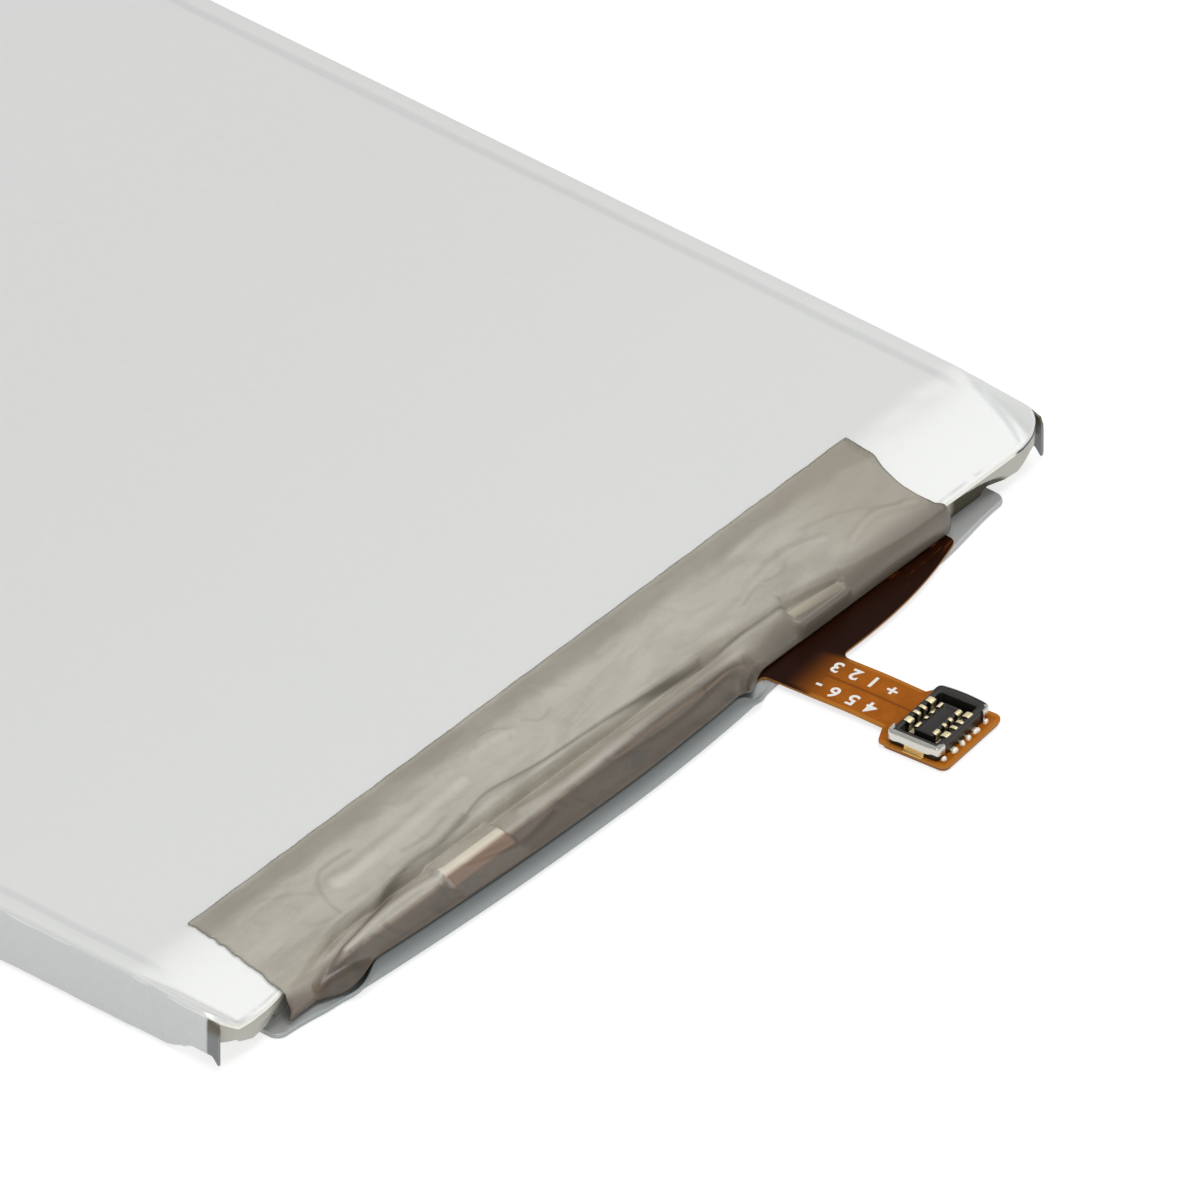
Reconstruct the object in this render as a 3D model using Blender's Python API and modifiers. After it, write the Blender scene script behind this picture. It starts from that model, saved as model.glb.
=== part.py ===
"""Flat lithium-polymer phone battery: sealed pouch, taped protection board, flexible tail and receptacle.

The origin is the centre of the pouch's underside. +X runs along the terminal edge, the terminals face -Y
and +Z is up. A "reach" is a distance outwards (-Y) from the line of the pouch's end wall.
"""

import math

import bmesh
import bpy
from mathutils import Matrix, Vector

MM = 0.001

# Pouch cell
CELL_WIDTH = 68.0 * MM
CELL_LENGTH = 84.0 * MM
CELL_HEIGHT = 3.6 * MM
CORNER_RADIUS = 1.5 * MM
SHOULDER = 0.7 * MM
BOTTOM_ROUNDING = 1.0 * MM
SLOPE_LENGTH = 6.5 * MM
SLOPE_DROP = 1.6 * MM
SLOPE_POWER = 1.5
SLOPE_SIDE = 3.0 * MM
SLOPE_CORNER_SHARE = 0.35

# End wall, drawn inwards behind the board
DRAW_IN = 1.5 * MM
DRAW_IN_LEFT_INSET = 3.0 * MM
DRAW_IN_LEFT_RAMP = 9.0 * MM
DRAW_IN_RIGHT_INSET = 10.0 * MM
DRAW_IN_RIGHT_RAMP = 14.0 * MM

# Sealed flange at the end wall's foot, and its turned-up lip
FLANGE_THICKNESS = 0.3 * MM
FLANGE_REACH = 1.5 * MM
FLANGE_END_INSET = 2.8 * MM
FLANGE_CORNER = 1.0 * MM
FLANGE_ROOT = 1.0 * MM
LIP_HEIGHT = 1.62 * MM
LIP_THICKNESS = 0.22 * MM
LIP_FOOT = 0.6 * MM
LIP_TURN_STEP = 0.13 * MM
LIP_CURL_STEP = 0.17 * MM
LIP_LEAST_RAISE = 0.15
LIP_REACH = 2.24 * MM
LIP_BOW = 0.62 * MM
LIP_LEFT_INSET = 9.5 * MM
LIP_RIGHT_INSET = 24.8 * MM
LIP_EASE = 3.2 * MM

# Side seams, folded up against the long sides
SEAM_THICKNESS = 0.22 * MM
SEAM_HEIGHT = 2.85 * MM
SEAM_FOOT = 0.12 * MM
SEAM_END_REACH = -0.1 * MM
SEAM_END_CUT = 0.85 * MM
SEAM_TIP_RISE = 0.25 * MM
SEAM_BACK_INSET = 4.0 * MM
SEAM_BACK_CORNER = 1.0 * MM
SEAM_FRONT_CORNER = 0.3 * MM
SEAM_SUNK = 0.1 * MM

# Tape over the end
TAPE_THICKNESS = 0.08 * MM
TAPE_COVER = 6.5 * MM
TAPE_RIGHT_INSET = 8.6 * MM
TAPE_LEFT_INSET = 5.0 * MM
TAPE_RIDGE = 1.92 * MM
TAPE_VALLEY = 1.80 * MM
TAPE_BUMP = 0.28 * MM
TAPE_LAP = 0.12 * MM
TAPE_FOOT_REACH = 0.40 * MM
TAPE_STEP_LENGTH = 3.6 * MM
TAPE_LEFT_GAP = 0.6 * MM
TAPE_VALLEY_STEP = 0.3 * MM
TAPE_RIDGE_STEP = 0.6 * MM
TAPE_RIDGE_REACH = 0.1 * MM
TAPE_LIP_INSET = 0.55 * MM
TAPE_LIP_RISE = 0.22 * MM
BUMP_MARGIN = 0.2 * MM
BUMP_RAMP = 0.8 * MM
BUMP_INNER_STEP = 0.35 * MM
BUMP_CROWN = 0.2 * MM
BUMP_OUTER_CROWN = 0.08 * MM
BUMP_EDGE_DROP = 0.04 * MM

# Rigid board and its strip
BOARD_THICKNESS = 0.4 * MM
BOARD_LEFT_INSET = 12.0 * MM
BOARD_RIGHT_INSET = 27.0 * MM
BOARD_ROUNDING = 0.05 * MM
INSULATION_THICKNESS = 0.13 * MM
THIN_ROUNDING = 0.03 * MM

# Tabs, their films and weld plates
TAB_WIDTH = 3.0 * MM
TAB_THICKNESS = 0.1 * MM
TAB_ROOT = 0.35 * MM
TAB_BEND = 0.3 * MM
TAB_FILM_MARGIN = 0.5 * MM
TAB_FILM_THICKNESS = 0.08 * MM
PLATE_LENGTH = 3.6 * MM
PLATE_DEPTH = 1.0 * MM
PLATE_THICKNESS = 0.15 * MM

# Parts on the board: (name, length, depth, height, kind)
BOARD_PARTS = (
    ("filter_capacitor", 1.0 * MM, 0.5 * MM, 0.5 * MM, "chip"),
    ("sense_resistor", 1.6 * MM, 0.8 * MM, 0.4 * MM, "chip"),
    ("thermal_fuse", 3.4 * MM, 0.85 * MM, 1.05 * MM, "block"),
    ("gate_resistor", 1.0 * MM, 0.5 * MM, 0.35 * MM, "chip"),
    ("protection_ic", 1.8 * MM, 0.95 * MM, 0.5 * MM, "leaded"),
    ("supply_capacitor", 1.0 * MM, 0.5 * MM, 0.5 * MM, "chip"),
    ("mosfet_left", 2.6 * MM, 0.95 * MM, 0.6 * MM, "leaded"),
    ("mosfet_right", 2.6 * MM, 0.95 * MM, 0.6 * MM, "leaded"),
    ("thermistor", 1.0 * MM, 0.5 * MM, 0.5 * MM, "chip"),
)
GAUGE_LENGTH = 3.0 * MM
GAUGE_DEPTH = 0.85 * MM
GAUGE_HEIGHT = 1.05 * MM
GAUGE_FROM_TAPE_END = 10.1 * MM
PARTS_INSET = 0.6 * MM
BLOCK_ROUNDING = 0.1 * MM
LEAD_HEIGHT = 0.12 * MM
LEAD_WIDTH = 0.3 * MM
LEAD_REACH = 0.1 * MM
LEAD_SPREAD = 0.32

# Flexible circuit: root, neck and pad
FLEX_THICKNESS = 0.13 * MM
ROOT_LENGTH = 10.6 * MM
ROOT_END_REACH = 0.95 * MM
ROOT_TAPER = 1.67 * MM
ROOT_TAPER_POWER = 2.4
ROOT_CORNER = 0.25 * MM
TAIL_FROM_TAPE_END = 13.76 * MM
TAIL_YAW = math.radians(5.0)
NECK_WIDTH = 3.8 * MM
NECK_FILLET = 0.5 * MM
NECK_BOW = 0.3 * MM
BEND_START = 2.9 * MM
PAD_START = 8.5 * MM
PAD_LENGTH = 4.2 * MM
PAD_WIDTH = 5.5 * MM
PAD_OFFSET = -0.35 * MM
PAD_CORNER = 0.5 * MM
PAD_SHOULDER = 0.3 * MM
STIFFENER_THICKNESS = 0.18 * MM
STIFFENER_INSET = 0.1 * MM

# Receptacle on the pad
HOUSING_LENGTH = 4.5 * MM
HOUSING_DEPTH = 3.2 * MM
HOUSING_HEIGHT = 0.8 * MM
HOUSING_FLOOR = 0.12 * MM
HOUSING_SIDE_WALL = 0.42 * MM
HOUSING_END_WALL = 0.5 * MM
CHANNEL_WIDTH = 0.55 * MM
CHANNEL_END_WIDTH = 0.4 * MM
ISLAND_DROP = 0.08 * MM
HOUSING_OFFSET = -0.25 * MM
HOUSING_SHIFT = 0.1 * MM
HOUSING_CORNER = 0.12 * MM
HOUSING_CHEEK = 0.15 * MM

# Contacts and hold-down bands
CONTACT_THICKNESS = 0.07 * MM
SIGNAL_WIDTH = 0.2 * MM
POWER_WIDTH = 0.42 * MM
SIGNAL_OFFSET = 0.225 * MM
POWER_OFFSET = 1.0 * MM
CONTACT_TAIL = 0.2 * MM
CONTACT_BEND = 0.07 * MM
CONTACT_PROUD = 0.08 * MM
ARM_GAP = 0.05 * MM
BAND_THICKNESS = 0.08 * MM
BAND_DEPTH = 2.3 * MM
BAND_RETURN = 0.3 * MM
BAND_FOOT = 0.28 * MM
BAND_BEND = 0.08 * MM

# Clearances between pieces, and how far a cutter runs past what it cuts
FIT = 0.03 * MM
SIDE_FIT = 0.12 * MM
TAPE_FIT = 0.06 * MM
OVERSHOOT = 2.0 * MM

# Places that follow from the sizes
END_Y = -CELL_LENGTH / 2
RIGHT_X = CELL_WIDTH / 2
LEFT_X = -CELL_WIDTH / 2
TAPE_RIGHT = RIGHT_X - TAPE_RIGHT_INSET
TAPE_LEFT = LEFT_X + TAPE_LEFT_INSET
LIP_LEFT = LEFT_X + LIP_LEFT_INSET
LIP_RIGHT = RIGHT_X - LIP_RIGHT_INSET
LIP_LENGTH = LIP_RIGHT - LIP_LEFT
LIP_END_REACH = LIP_REACH - LIP_BOW
TAIL_X = TAPE_RIGHT - TAIL_FROM_TAPE_END
FLEX_BOTTOM = FLANGE_THICKNESS + FIT
FLEX_TOP = FLEX_BOTTOM + FLEX_THICKNESS
FLEX_LEFT = TAIL_X - ROOT_LENGTH
BOARD_LEFT = LEFT_X + BOARD_LEFT_INSET
BOARD_LENGTH = RIGHT_X - BOARD_RIGHT_INSET - BOARD_LEFT
BOARD_BOTTOM = FLEX_TOP + FIT
BOARD_TOP = BOARD_BOTTOM + BOARD_THICKNESS
BOARD_INNER = SIDE_FIT - DRAW_IN
BOARD_OUTER = LIP_END_REACH - LIP_THICKNESS - SIDE_FIT
PARTS_REACH = BOARD_INNER + PARTS_INSET
PLATE_REACH = BOARD_OUTER - SIDE_FIT - PLATE_DEPTH / 2
PLATE_TOP = BOARD_TOP + FIT + PLATE_THICKNESS
GAUGE_X = TAPE_RIGHT - GAUGE_FROM_TAPE_END
STIFFENER_TOP = FIT + STIFFENER_THICKNESS
PAD_BOTTOM = STIFFENER_TOP + FIT
HOUSING_BOTTOM = PAD_BOTTOM + FLEX_THICKNESS + FIT
HOUSING_REACH = PAD_START + PAD_LENGTH / 2 + HOUSING_SHIFT


def collection(name):
    """A new collection under the scene's own."""
    made = bpy.data.collections.new(name)
    bpy.context.scene.collection.children.link(made)
    return made


def material(name, colour, roughness, metallic=0.0):
    """A Principled material of one colour."""
    made = bpy.data.materials.new(name)
    made.use_nodes = True
    shader = made.node_tree.nodes["Principled BSDF"]
    shader.inputs["Base Color"].default_value = (*colour, 1.0)
    shader.inputs["Roughness"].default_value = roughness
    shader.inputs["Metallic"].default_value = metallic
    made.diffuse_color = (*colour, 1.0)
    return made


def ease(share):
    """0 to 1 with a level start and end."""
    share = min(max(share, 0.0), 1.0)
    return share * share * (3.0 - 2.0 * share)


def mix(low, high, share):
    return low + (high - low) * share


def top_height(x, reach):
    """Height of the pouch's top face, which slopes down towards the end wall and less so at the corners."""
    share = min(max(1.0 + reach / SLOPE_LENGTH, 0.0), 1.0)
    across = mix(SLOPE_CORNER_SHARE, 1.0, ease((RIGHT_X - abs(x)) / SLOPE_SIDE))
    return CELL_HEIGHT - SLOPE_DROP * across * share**SLOPE_POWER


def wall_reach(x):
    """Reach of the end wall at x: 0 at the corners, and drawn in behind the board."""
    left = ease((x - LEFT_X - DRAW_IN_LEFT_INSET) / DRAW_IN_LEFT_RAMP)
    right = ease((RIGHT_X - DRAW_IN_RIGHT_INSET - x) / DRAW_IN_RIGHT_RAMP)
    return -DRAW_IN * left * right


def lip_reach(x):
    """Reach of the lip's outer face, which bows outwards in the middle."""
    share = 2.0 * (x - LIP_LEFT) / LIP_LENGTH - 1.0
    return LIP_REACH - LIP_BOW * share * share


def lip_raise(x):
    """Share of the lip's full turn at x: 1 along the board, and nearly flat at both ends."""
    from_end = min(LIP_RIGHT - x, x - LIP_LEFT)
    return mix(LIP_LEAST_RAISE, 1.0, ease(from_end / LIP_EASE))


def lip_centreline(x):
    """Middle of the lip's section at x, as (reach, height): a foot, a turn upwards and a curl back over the board."""
    turn = [(LIP_TURN_STEP, math.radians(angle)) for angle in (12, 37, 62, 84)]
    curl = [(LIP_CURL_STEP, math.radians(angle)) for angle in (100, 120, 140)]
    out = sum(length * math.cos(angle) for length, angle in turn)
    bends_up = sum(length * math.sin(angle) for length, angle in turn + curl)
    middle = FLANGE_THICKNESS / 2
    straight = LIP_HEIGHT - LIP_THICKNESS / 2 - middle - bends_up
    raised = lip_raise(x)
    start = lip_reach(x) - LIP_THICKNESS / 2 - out
    points = [Vector((start - LIP_FOOT, middle)), Vector((start, middle))]
    for length, angle in [*turn, (straight, math.pi / 2), *curl]:
        heading = Vector((math.cos(raised * angle), math.sin(raised * angle)))
        points.append(points[-1] + heading * length * raised)
    return points


def lip_height(x):
    return max(point.y for point in lip_centreline(x)) + LIP_THICKNESS / 2


def tail_matrix():
    """The tail's own frame: its origin at the end wall's line, its -Y along the tail."""
    return Matrix.Translation((TAIL_X, END_Y, 0.0)) @ Matrix.Rotation(TAIL_YAW, 4, "Z")


def tail_point(across, along):
    """Plan point of the tail, from its distance across and along the tail."""
    place = tail_matrix() @ Vector((across, -along, 0.0))
    return place.x, place.y


def rounded_outline(corners, steps=5):
    """Closed outline from corners (x, y, radius), each radius turned into an arc."""
    points = []
    for index, (x, y, radius) in enumerate(corners):
        corner = Vector((x, y))
        if radius == 0.0:
            points.append(corner)
            continue
        before = (Vector(corners[index - 1][:2]) - corner).normalized()
        after = (Vector(corners[(index + 1) % len(corners)][:2]) - corner).normalized()
        half = before.angle(after) / 2
        centre = corner + (before + after).normalized() * (radius / math.sin(half))
        start = corner + before * (radius / math.tan(half)) - centre
        end = corner + after * (radius / math.tan(half)) - centre
        sweep = math.atan2(start.x * end.y - start.y * end.x, start.dot(end))
        for step in range(steps + 1):
            points.append(centre + Matrix.Rotation(sweep * step / steps, 2) @ start)
    return points


def smooth_path(points, count):
    """A Catmull-Rom curve through the points, read at evenly spread parameters."""
    ends = [points[0] * 2 - points[1], *points, points[-1] * 2 - points[-2]]
    path = []
    for step in range(count):
        place = step * (len(points) - 1) / (count - 1)
        index = min(int(place), len(points) - 2)
        t = place - index
        a, b, c, d = ends[index : index + 4]
        path.append(0.5 * (2 * b + (c - a) * t + (2 * a - 5 * b + 4 * c - d) * t * t + (3 * b - a - 3 * c + d) * t**3))
    return path


def mesh_object(name, bm, group, finish=None):
    """An object that holds the bmesh, with outward normals."""
    bmesh.ops.recalc_face_normals(bm, faces=bm.faces)
    mesh = bpy.data.meshes.new(name)
    bm.to_mesh(mesh)
    bm.free()
    made = bpy.data.objects.new(name, mesh)
    group.objects.link(made)
    if finish:
        mesh.materials.append(finish)
    return made


def helper(made):
    """Marks an object as a cutter or a piece to be joined."""
    made.hide_render = True
    made.display_type = "WIRE"
    return made


def extruded(name, outline, low, high, group, finish=None, hole=None):
    """A flat outline given a thickness from low to high, made as a filled curve and turned into a mesh."""
    curve = bpy.data.curves.new(name, "CURVE")
    curve.dimensions = "2D"
    curve.fill_mode = "BOTH"
    curve.extrude = (high - low) / 2
    for ring in filter(None, (outline, hole)):
        spline = curve.splines.new("POLY")
        spline.points.add(len(ring) - 1)
        for point, (x, y) in zip(spline.points, ring):
            point.co = (x, y, 0.0, 1.0)
        spline.use_cyclic_u = True
    flat = bpy.data.objects.new(name + "_outline", curve)
    bpy.context.scene.collection.objects.link(flat)
    graph = bpy.context.evaluated_depsgraph_get()
    mesh = bpy.data.meshes.new_from_object(flat.evaluated_get(graph))
    bpy.data.objects.remove(flat)
    bm = bmesh.new()
    bm.from_mesh(mesh)
    bpy.data.meshes.remove(mesh)
    bmesh.ops.remove_doubles(bm, verts=bm.verts, dist=0.0001 * MM)
    bmesh.ops.translate(bm, verts=bm.verts, vec=(0.0, 0.0, (low + high) / 2))
    return mesh_object(name, bm, group, finish)


def box(name, size, centre, group, finish=None, rounding=0.0, segments=2):
    """A block with rounded edges."""
    bm = bmesh.new()
    bmesh.ops.create_cube(bm, matrix=Matrix.Diagonal((*size, 1.0)))
    made = mesh_object(name, bm, group, finish)
    made.location = centre
    if rounding:
        bevel = made.modifiers.new("rounding", "BEVEL")
        bevel.width = rounding
        bevel.segments = segments
    return made


def bent_strip(name, profile, width, thickness, group, finish, side=0.0):
    """A metal strip of one bend profile (along, up), as an open surface with a thickness."""
    bm = bmesh.new()
    rows = [[bm.verts.new((x, y, z)) for y, z in profile] for x in (-width / 2, width / 2)]
    for index in range(len(profile) - 1):
        bm.faces.new((rows[0][index], rows[0][index + 1], rows[1][index + 1], rows[1][index]))
    mesh = bpy.data.meshes.new(name)
    bm.to_mesh(mesh)
    bm.free()
    mesh.materials.append(finish)
    made = bpy.data.objects.new(name, mesh)
    group.objects.link(made)
    solid = made.modifiers.new("thickness", "SOLIDIFY")
    solid.thickness = thickness
    solid.offset = side
    solid.use_even_offset = True
    return made


def loft(name, rings, group, finish=None):
    """A solid through closed rings of equal count, capped at both ends."""
    bm = bmesh.new()
    loops = [[bm.verts.new(point) for point in ring] for ring in rings]
    for near, far in zip(loops, loops[1:]):
        for index in range(len(near)):
            after = (index + 1) % len(near)
            bm.faces.new((near[index], near[after], far[after], far[index]))
    bm.faces.new(loops[0])
    bm.faces.new(loops[-1])
    return mesh_object(name, bm, group, finish)


def join(base, other, operation):
    """Adds an exact Boolean between two objects."""
    cut = base.modifiers.new(other.name, "BOOLEAN")
    cut.operation = operation
    cut.object = helper(other)
    cut.solver = "EXACT"


def pouch_body(group, finish):
    """The pressed pouch: a block with round plan corners, a soft upper shoulder and a rounder foot."""
    bm = bmesh.new()
    size = Matrix.Diagonal((CELL_WIDTH, CELL_LENGTH, CELL_HEIGHT, 1.0))
    bmesh.ops.create_cube(bm, matrix=Matrix.Translation((0, 0, CELL_HEIGHT / 2)) @ size)
    upright = [edge for edge in bm.edges if abs(edge.verts[0].co.z - edge.verts[1].co.z) > CELL_HEIGHT / 2]
    bmesh.ops.bevel(bm, geom=upright, offset=CORNER_RADIUS, segments=8, profile=0.5, affect="EDGES")
    for height, width, segments in ((CELL_HEIGHT, SHOULDER, 4), (0.0, BOTTOM_ROUNDING, 4)):
        rim = [edge for edge in bm.edges if all(abs(vert.co.z - height) < FIT for vert in edge.verts)]
        bmesh.ops.bevel(bm, geom=rim, offset=width, segments=segments, profile=0.5, affect="EDGES")
    return mesh_object("pouch_cell", bm, group, finish)


def slope_ring(x):
    """Closed section at x of what lies above the slope."""
    steps = 10
    reaches = [mix(-SLOPE_LENGTH, 0.0, step / steps) for step in range(steps + 1)]
    profile = [Vector((x, END_Y - reach, top_height(x, reach))) for reach in reaches]
    profile.append(profile[-1] + (profile[-1] - profile[-2]).normalized() * OVERSHOOT)
    above = CELL_HEIGHT + OVERSHOOT
    return [*profile, Vector((x, profile[-1].y, above)), Vector((x, profile[0].y, above))]


def slope_cutter(group):
    """Takes away what lies above the sloping end of the top face."""
    steps = 5
    side = [LEFT_X + SLOPE_SIDE * step / steps for step in range(steps + 1)]
    left = [LEFT_X - OVERSHOOT, *side]
    cutter = loft("slope_cutter", [slope_ring(x) for x in left + [-x for x in reversed(left)]], group)
    cutter.modifiers.new("flat_faces", "TRIANGULATE")
    return cutter


def wall_cutter(group):
    """Draws the end wall in behind the board."""
    start = LEFT_X + DRAW_IN_LEFT_INSET
    end = RIGHT_X - DRAW_IN_RIGHT_INSET
    steps = 26
    places = [mix(start, end, step / steps) for step in range(1, steps)]
    outline = [(x, END_Y - wall_reach(x)) for x in places]
    outline += [(end, END_Y), (end, END_Y - OVERSHOOT), (start, END_Y - OVERSHOOT), (start, END_Y)]
    return extruded("wall_cutter", outline, FLANGE_THICKNESS, 2 * CELL_HEIGHT, group)


def flange(group):
    """The flat sealed flange at the foot of the end wall."""
    left = LEFT_X + FLANGE_END_INSET
    right = RIGHT_X - FLANGE_END_INSET
    outer = END_Y - FLANGE_REACH
    inner = END_Y + DRAW_IN + FLANGE_ROOT
    corners = [(left, inner, 0.0), (left, outer, FLANGE_CORNER), (right, outer, FLANGE_CORNER), (right, inner, 0.0)]
    return extruded("flange", rounded_outline(corners), 0.0, FLANGE_THICKNESS, group)


def lip_ring(x):
    """Closed section of the lip at x: its centreline given the film's thickness."""
    middle = lip_centreline(x)
    outer = []
    inner = []
    for index, point in enumerate(middle):
        along = middle[min(index + 1, len(middle) - 1)] - middle[max(index - 1, 0)]
        across = Vector((along.y, -along.x)).normalized() * (LIP_THICKNESS / 2)
        outer.append(point + across)
        inner.append(point - across)
    return [(x, END_Y - point.x, point.y) for point in outer + inner[::-1]]


def lip(group):
    """The flange's outer edge, turned up around the board and leaning back over it."""
    steps = 24
    places = [mix(LIP_LEFT, LIP_RIGHT, step / steps) for step in range(steps + 1)]
    return loft("lip", [lip_ring(x) for x in places], group)


def side_seam(name, side, group):
    """A side seal folded up against the long side, its terminal end cut to a point."""
    front = END_Y - SEAM_END_REACH
    back = -END_Y - SEAM_BACK_INSET
    corners = [
        (front, SEAM_FOOT + SEAM_TIP_RISE, 0.0),
        (front + SEAM_END_CUT, SEAM_FOOT, 0.0),
        (back, SEAM_FOOT, SEAM_BACK_CORNER / 2),
        (back, SEAM_HEIGHT, SEAM_BACK_CORNER),
        (front + SEAM_END_CUT, SEAM_HEIGHT, SEAM_FRONT_CORNER),
    ]
    seam = extruded(name, rounded_outline(corners), -SEAM_SUNK, SEAM_THICKNESS, group)
    seam.matrix_world = Matrix(((0, 0, side, side * RIGHT_X), (1, 0, 0, 0), (0, 1, 0, 0), (0, 0, 0, 1)))
    return seam


def pouch_cell(parts, cutters, finish):
    """The sealed pouch with its sloped end, drawn-in wall, flange, lip and side seams, as one solid."""
    cell = pouch_body(parts, finish)
    join(cell, slope_cutter(cutters), "DIFFERENCE")
    join(cell, wall_cutter(cutters), "DIFFERENCE")
    join(cell, flange(cutters), "UNION")
    join(cell, lip(cutters), "UNION")
    join(cell, side_seam("seam_right", 1, cutters), "UNION")
    join(cell, side_seam("seam_left", -1, cutters), "UNION")
    return cell


def board_places():
    """Name to centre x of each part of the inner row, spread evenly along the board."""
    spare = BOARD_LENGTH - sum(length for _, length, _, _, _ in BOARD_PARTS)
    space = spare / (len(BOARD_PARTS) + 1)
    places = {}
    x = BOARD_LEFT + space
    for name, length, _, _, _ in BOARD_PARTS:
        places[name] = x + length / 2
        x += length + space
    return places


def tab_places():
    """Centre x of the negative and the positive tab, spread evenly along the board."""
    space = (BOARD_LENGTH - 2 * PLATE_LENGTH) / 3
    first = BOARD_LEFT + space + PLATE_LENGTH / 2
    return {"negative": first, "positive": first + PLATE_LENGTH + space}


def bump_at(x, centre, length):
    """1 over a tall part and 0 away from it."""
    past = abs(x - centre) - length / 2 - BUMP_MARGIN
    return 1.0 - ease(past / BUMP_RAMP)


def gauge_reach():
    """Reach of the tall part's middle on the flexible circuit, clear of the end wall along its whole length."""
    return wall_reach(GAUGE_X + GAUGE_LENGTH / 2) + SIDE_FIT + GAUGE_DEPTH / 2


def tape_over_board(x, wall):
    """The tape's section from the end wall's edge over the board's parts to the lip."""
    fuse_length = next(part[1] for part in BOARD_PARTS if part[0] == "thermal_fuse")
    bump = TAPE_BUMP * bump_at(x, board_places()["thermal_fuse"], fuse_length)
    on_lip = min(max(x, LIP_LEFT), LIP_RIGHT)
    return [
        (wall + TAPE_VALLEY_STEP, TAPE_VALLEY + bump),
        (wall + TAPE_RIDGE_STEP, TAPE_RIDGE + bump),
        (TAPE_RIDGE_REACH, TAPE_RIDGE + bump),
        (lip_reach(on_lip) - TAPE_LIP_INSET, LIP_HEIGHT + TAPE_LIP_RISE),
        (lip_reach(on_lip) + TAPE_FIT, lip_height(on_lip) - TAPE_LAP),
    ]


def tape_down_wall(x, wall, rim):
    """The tape's section where it runs from the end wall's edge down to the flexible circuit."""
    foot = Vector((TAPE_FOOT_REACH, FLEX_TOP + TAPE_FIT))
    edge = Vector((wall + TAPE_FIT, rim))
    level = [edge.lerp(foot, share) for share in (0.2, 0.4, 0.6, 0.8, 1.0)]
    bump = bump_at(x, GAUGE_X, GAUGE_LENGTH)
    outer = gauge_reach() + GAUGE_DEPTH / 2
    top = FLEX_TOP + FIT + GAUGE_HEIGHT + 2 * TAPE_FIT
    raised = [
        (wall + BUMP_INNER_STEP, top + BUMP_CROWN),
        (mix(wall, outer, 0.6), top + BUMP_OUTER_CROWN),
        (outer + TAPE_FIT, top - BUMP_EDGE_DROP),
        (outer + 2 * TAPE_FIT, mix(foot.y, top, 0.6)),
        foot,
    ]
    return [low.lerp(Vector(high), bump) for low, high in zip(level, raised)]


def tape_section(x):
    """Underside of the tape at x, as (reach, height) from its inner edge to its outer edge."""
    wall = wall_reach(x)
    rim = top_height(x, wall) + TAPE_FIT
    right_step = ease((x - LIP_RIGHT + LIP_EASE) / TAPE_STEP_LENGTH)
    left_step = ease((BOARD_LEFT - TAPE_LEFT_GAP - x) / TAPE_STEP_LENGTH)
    step = max(right_step, left_step)
    slope = [mix(-TAPE_COVER, wall, share) for share in (0.0, 0.33, 0.6, 0.85)]
    points = [Vector((reach, top_height(x, reach) + TAPE_FIT)) for reach in slope]
    points.append(Vector((wall + TAPE_FIT, rim)))
    for board, flex in zip(tape_over_board(x, wall), tape_down_wall(x, wall, rim)):
        points.append(Vector(board).lerp(flex, step))
    edge = points[-1]
    on_lip = LIP_LEFT - FIT < x < LIP_RIGHT + FIT
    if on_lip and edge.x < lip_reach(x):
        edge.y = max(edge.y, lip_height(x) + 2 * TAPE_FIT)
    return points


def end_tape(parts, finish):
    """The tape: one sheet from the top face over the board and down to the lip or the flexible circuit."""
    stations = 56
    around = 19
    bm = bmesh.new()
    rows = []
    for station in range(stations):
        x = mix(TAPE_LEFT, TAPE_RIGHT, station / (stations - 1))
        section = smooth_path(tape_section(x), around)
        rows.append([bm.verts.new((x, END_Y - reach, height)) for reach, height in section])
    for near, far in zip(rows, rows[1:]):
        for index in range(around - 1):
            bm.faces.new((near[index], near[index + 1], far[index + 1], far[index]))
    mesh = bpy.data.meshes.new("end_tape")
    bm.to_mesh(mesh)
    bm.free()
    mesh.materials.append(finish)
    tape = bpy.data.objects.new("end_tape", mesh)
    parts.objects.link(tape)
    solid = tape.modifiers.new("thickness", "SOLIDIFY")
    solid.thickness = TAPE_THICKNESS
    solid.offset = 1.0
    return tape


def board(parts, finishes):
    """The rigid board, and the strip between it and the flange where the flexible circuit ends."""
    length = BOARD_LENGTH
    depth = BOARD_OUTER - BOARD_INNER
    centre_x = BOARD_LEFT + length / 2
    centre_y = END_Y - (BOARD_OUTER + BOARD_INNER) / 2
    size = (length, depth, BOARD_THICKNESS)
    centre = (centre_x, centre_y, BOARD_BOTTOM + BOARD_THICKNESS / 2)
    box("protection_board", size, centre, parts, finishes["board"], BOARD_ROUNDING)
    strip_right = FLEX_LEFT - SIDE_FIT
    size = (strip_right - BOARD_LEFT, depth, INSULATION_THICKNESS)
    centre = ((strip_right + BOARD_LEFT) / 2, centre_y, FLEX_BOTTOM + INSULATION_THICKNESS / 2)
    box("board_insulation", size, centre, parts, finishes["film"], THIN_ROUNDING, 1)


def chip(name, length, depth, height, centre, group, finish):
    """A small resistor or capacitor: a waisted body between two end caps."""
    cap = 0.24 * length
    edge = 0.05 * length
    waist = 0.9
    sections = [(-length / 2, waist), (edge - length / 2, 1.0), (cap - length / 2, 1.0), (cap - length / 2 + edge, waist)]
    sections += [(-x, scale) for x, scale in reversed(sections)]
    rings = []
    for x, scale in sections:
        y = scale * depth / 2
        z = scale * height / 2
        rings.append([(x, -y, -z), (x, y, -z), (x, y, z), (x, -y, z)])
    made = loft(name, rings, group, finish)
    made.location = centre
    return made


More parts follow.
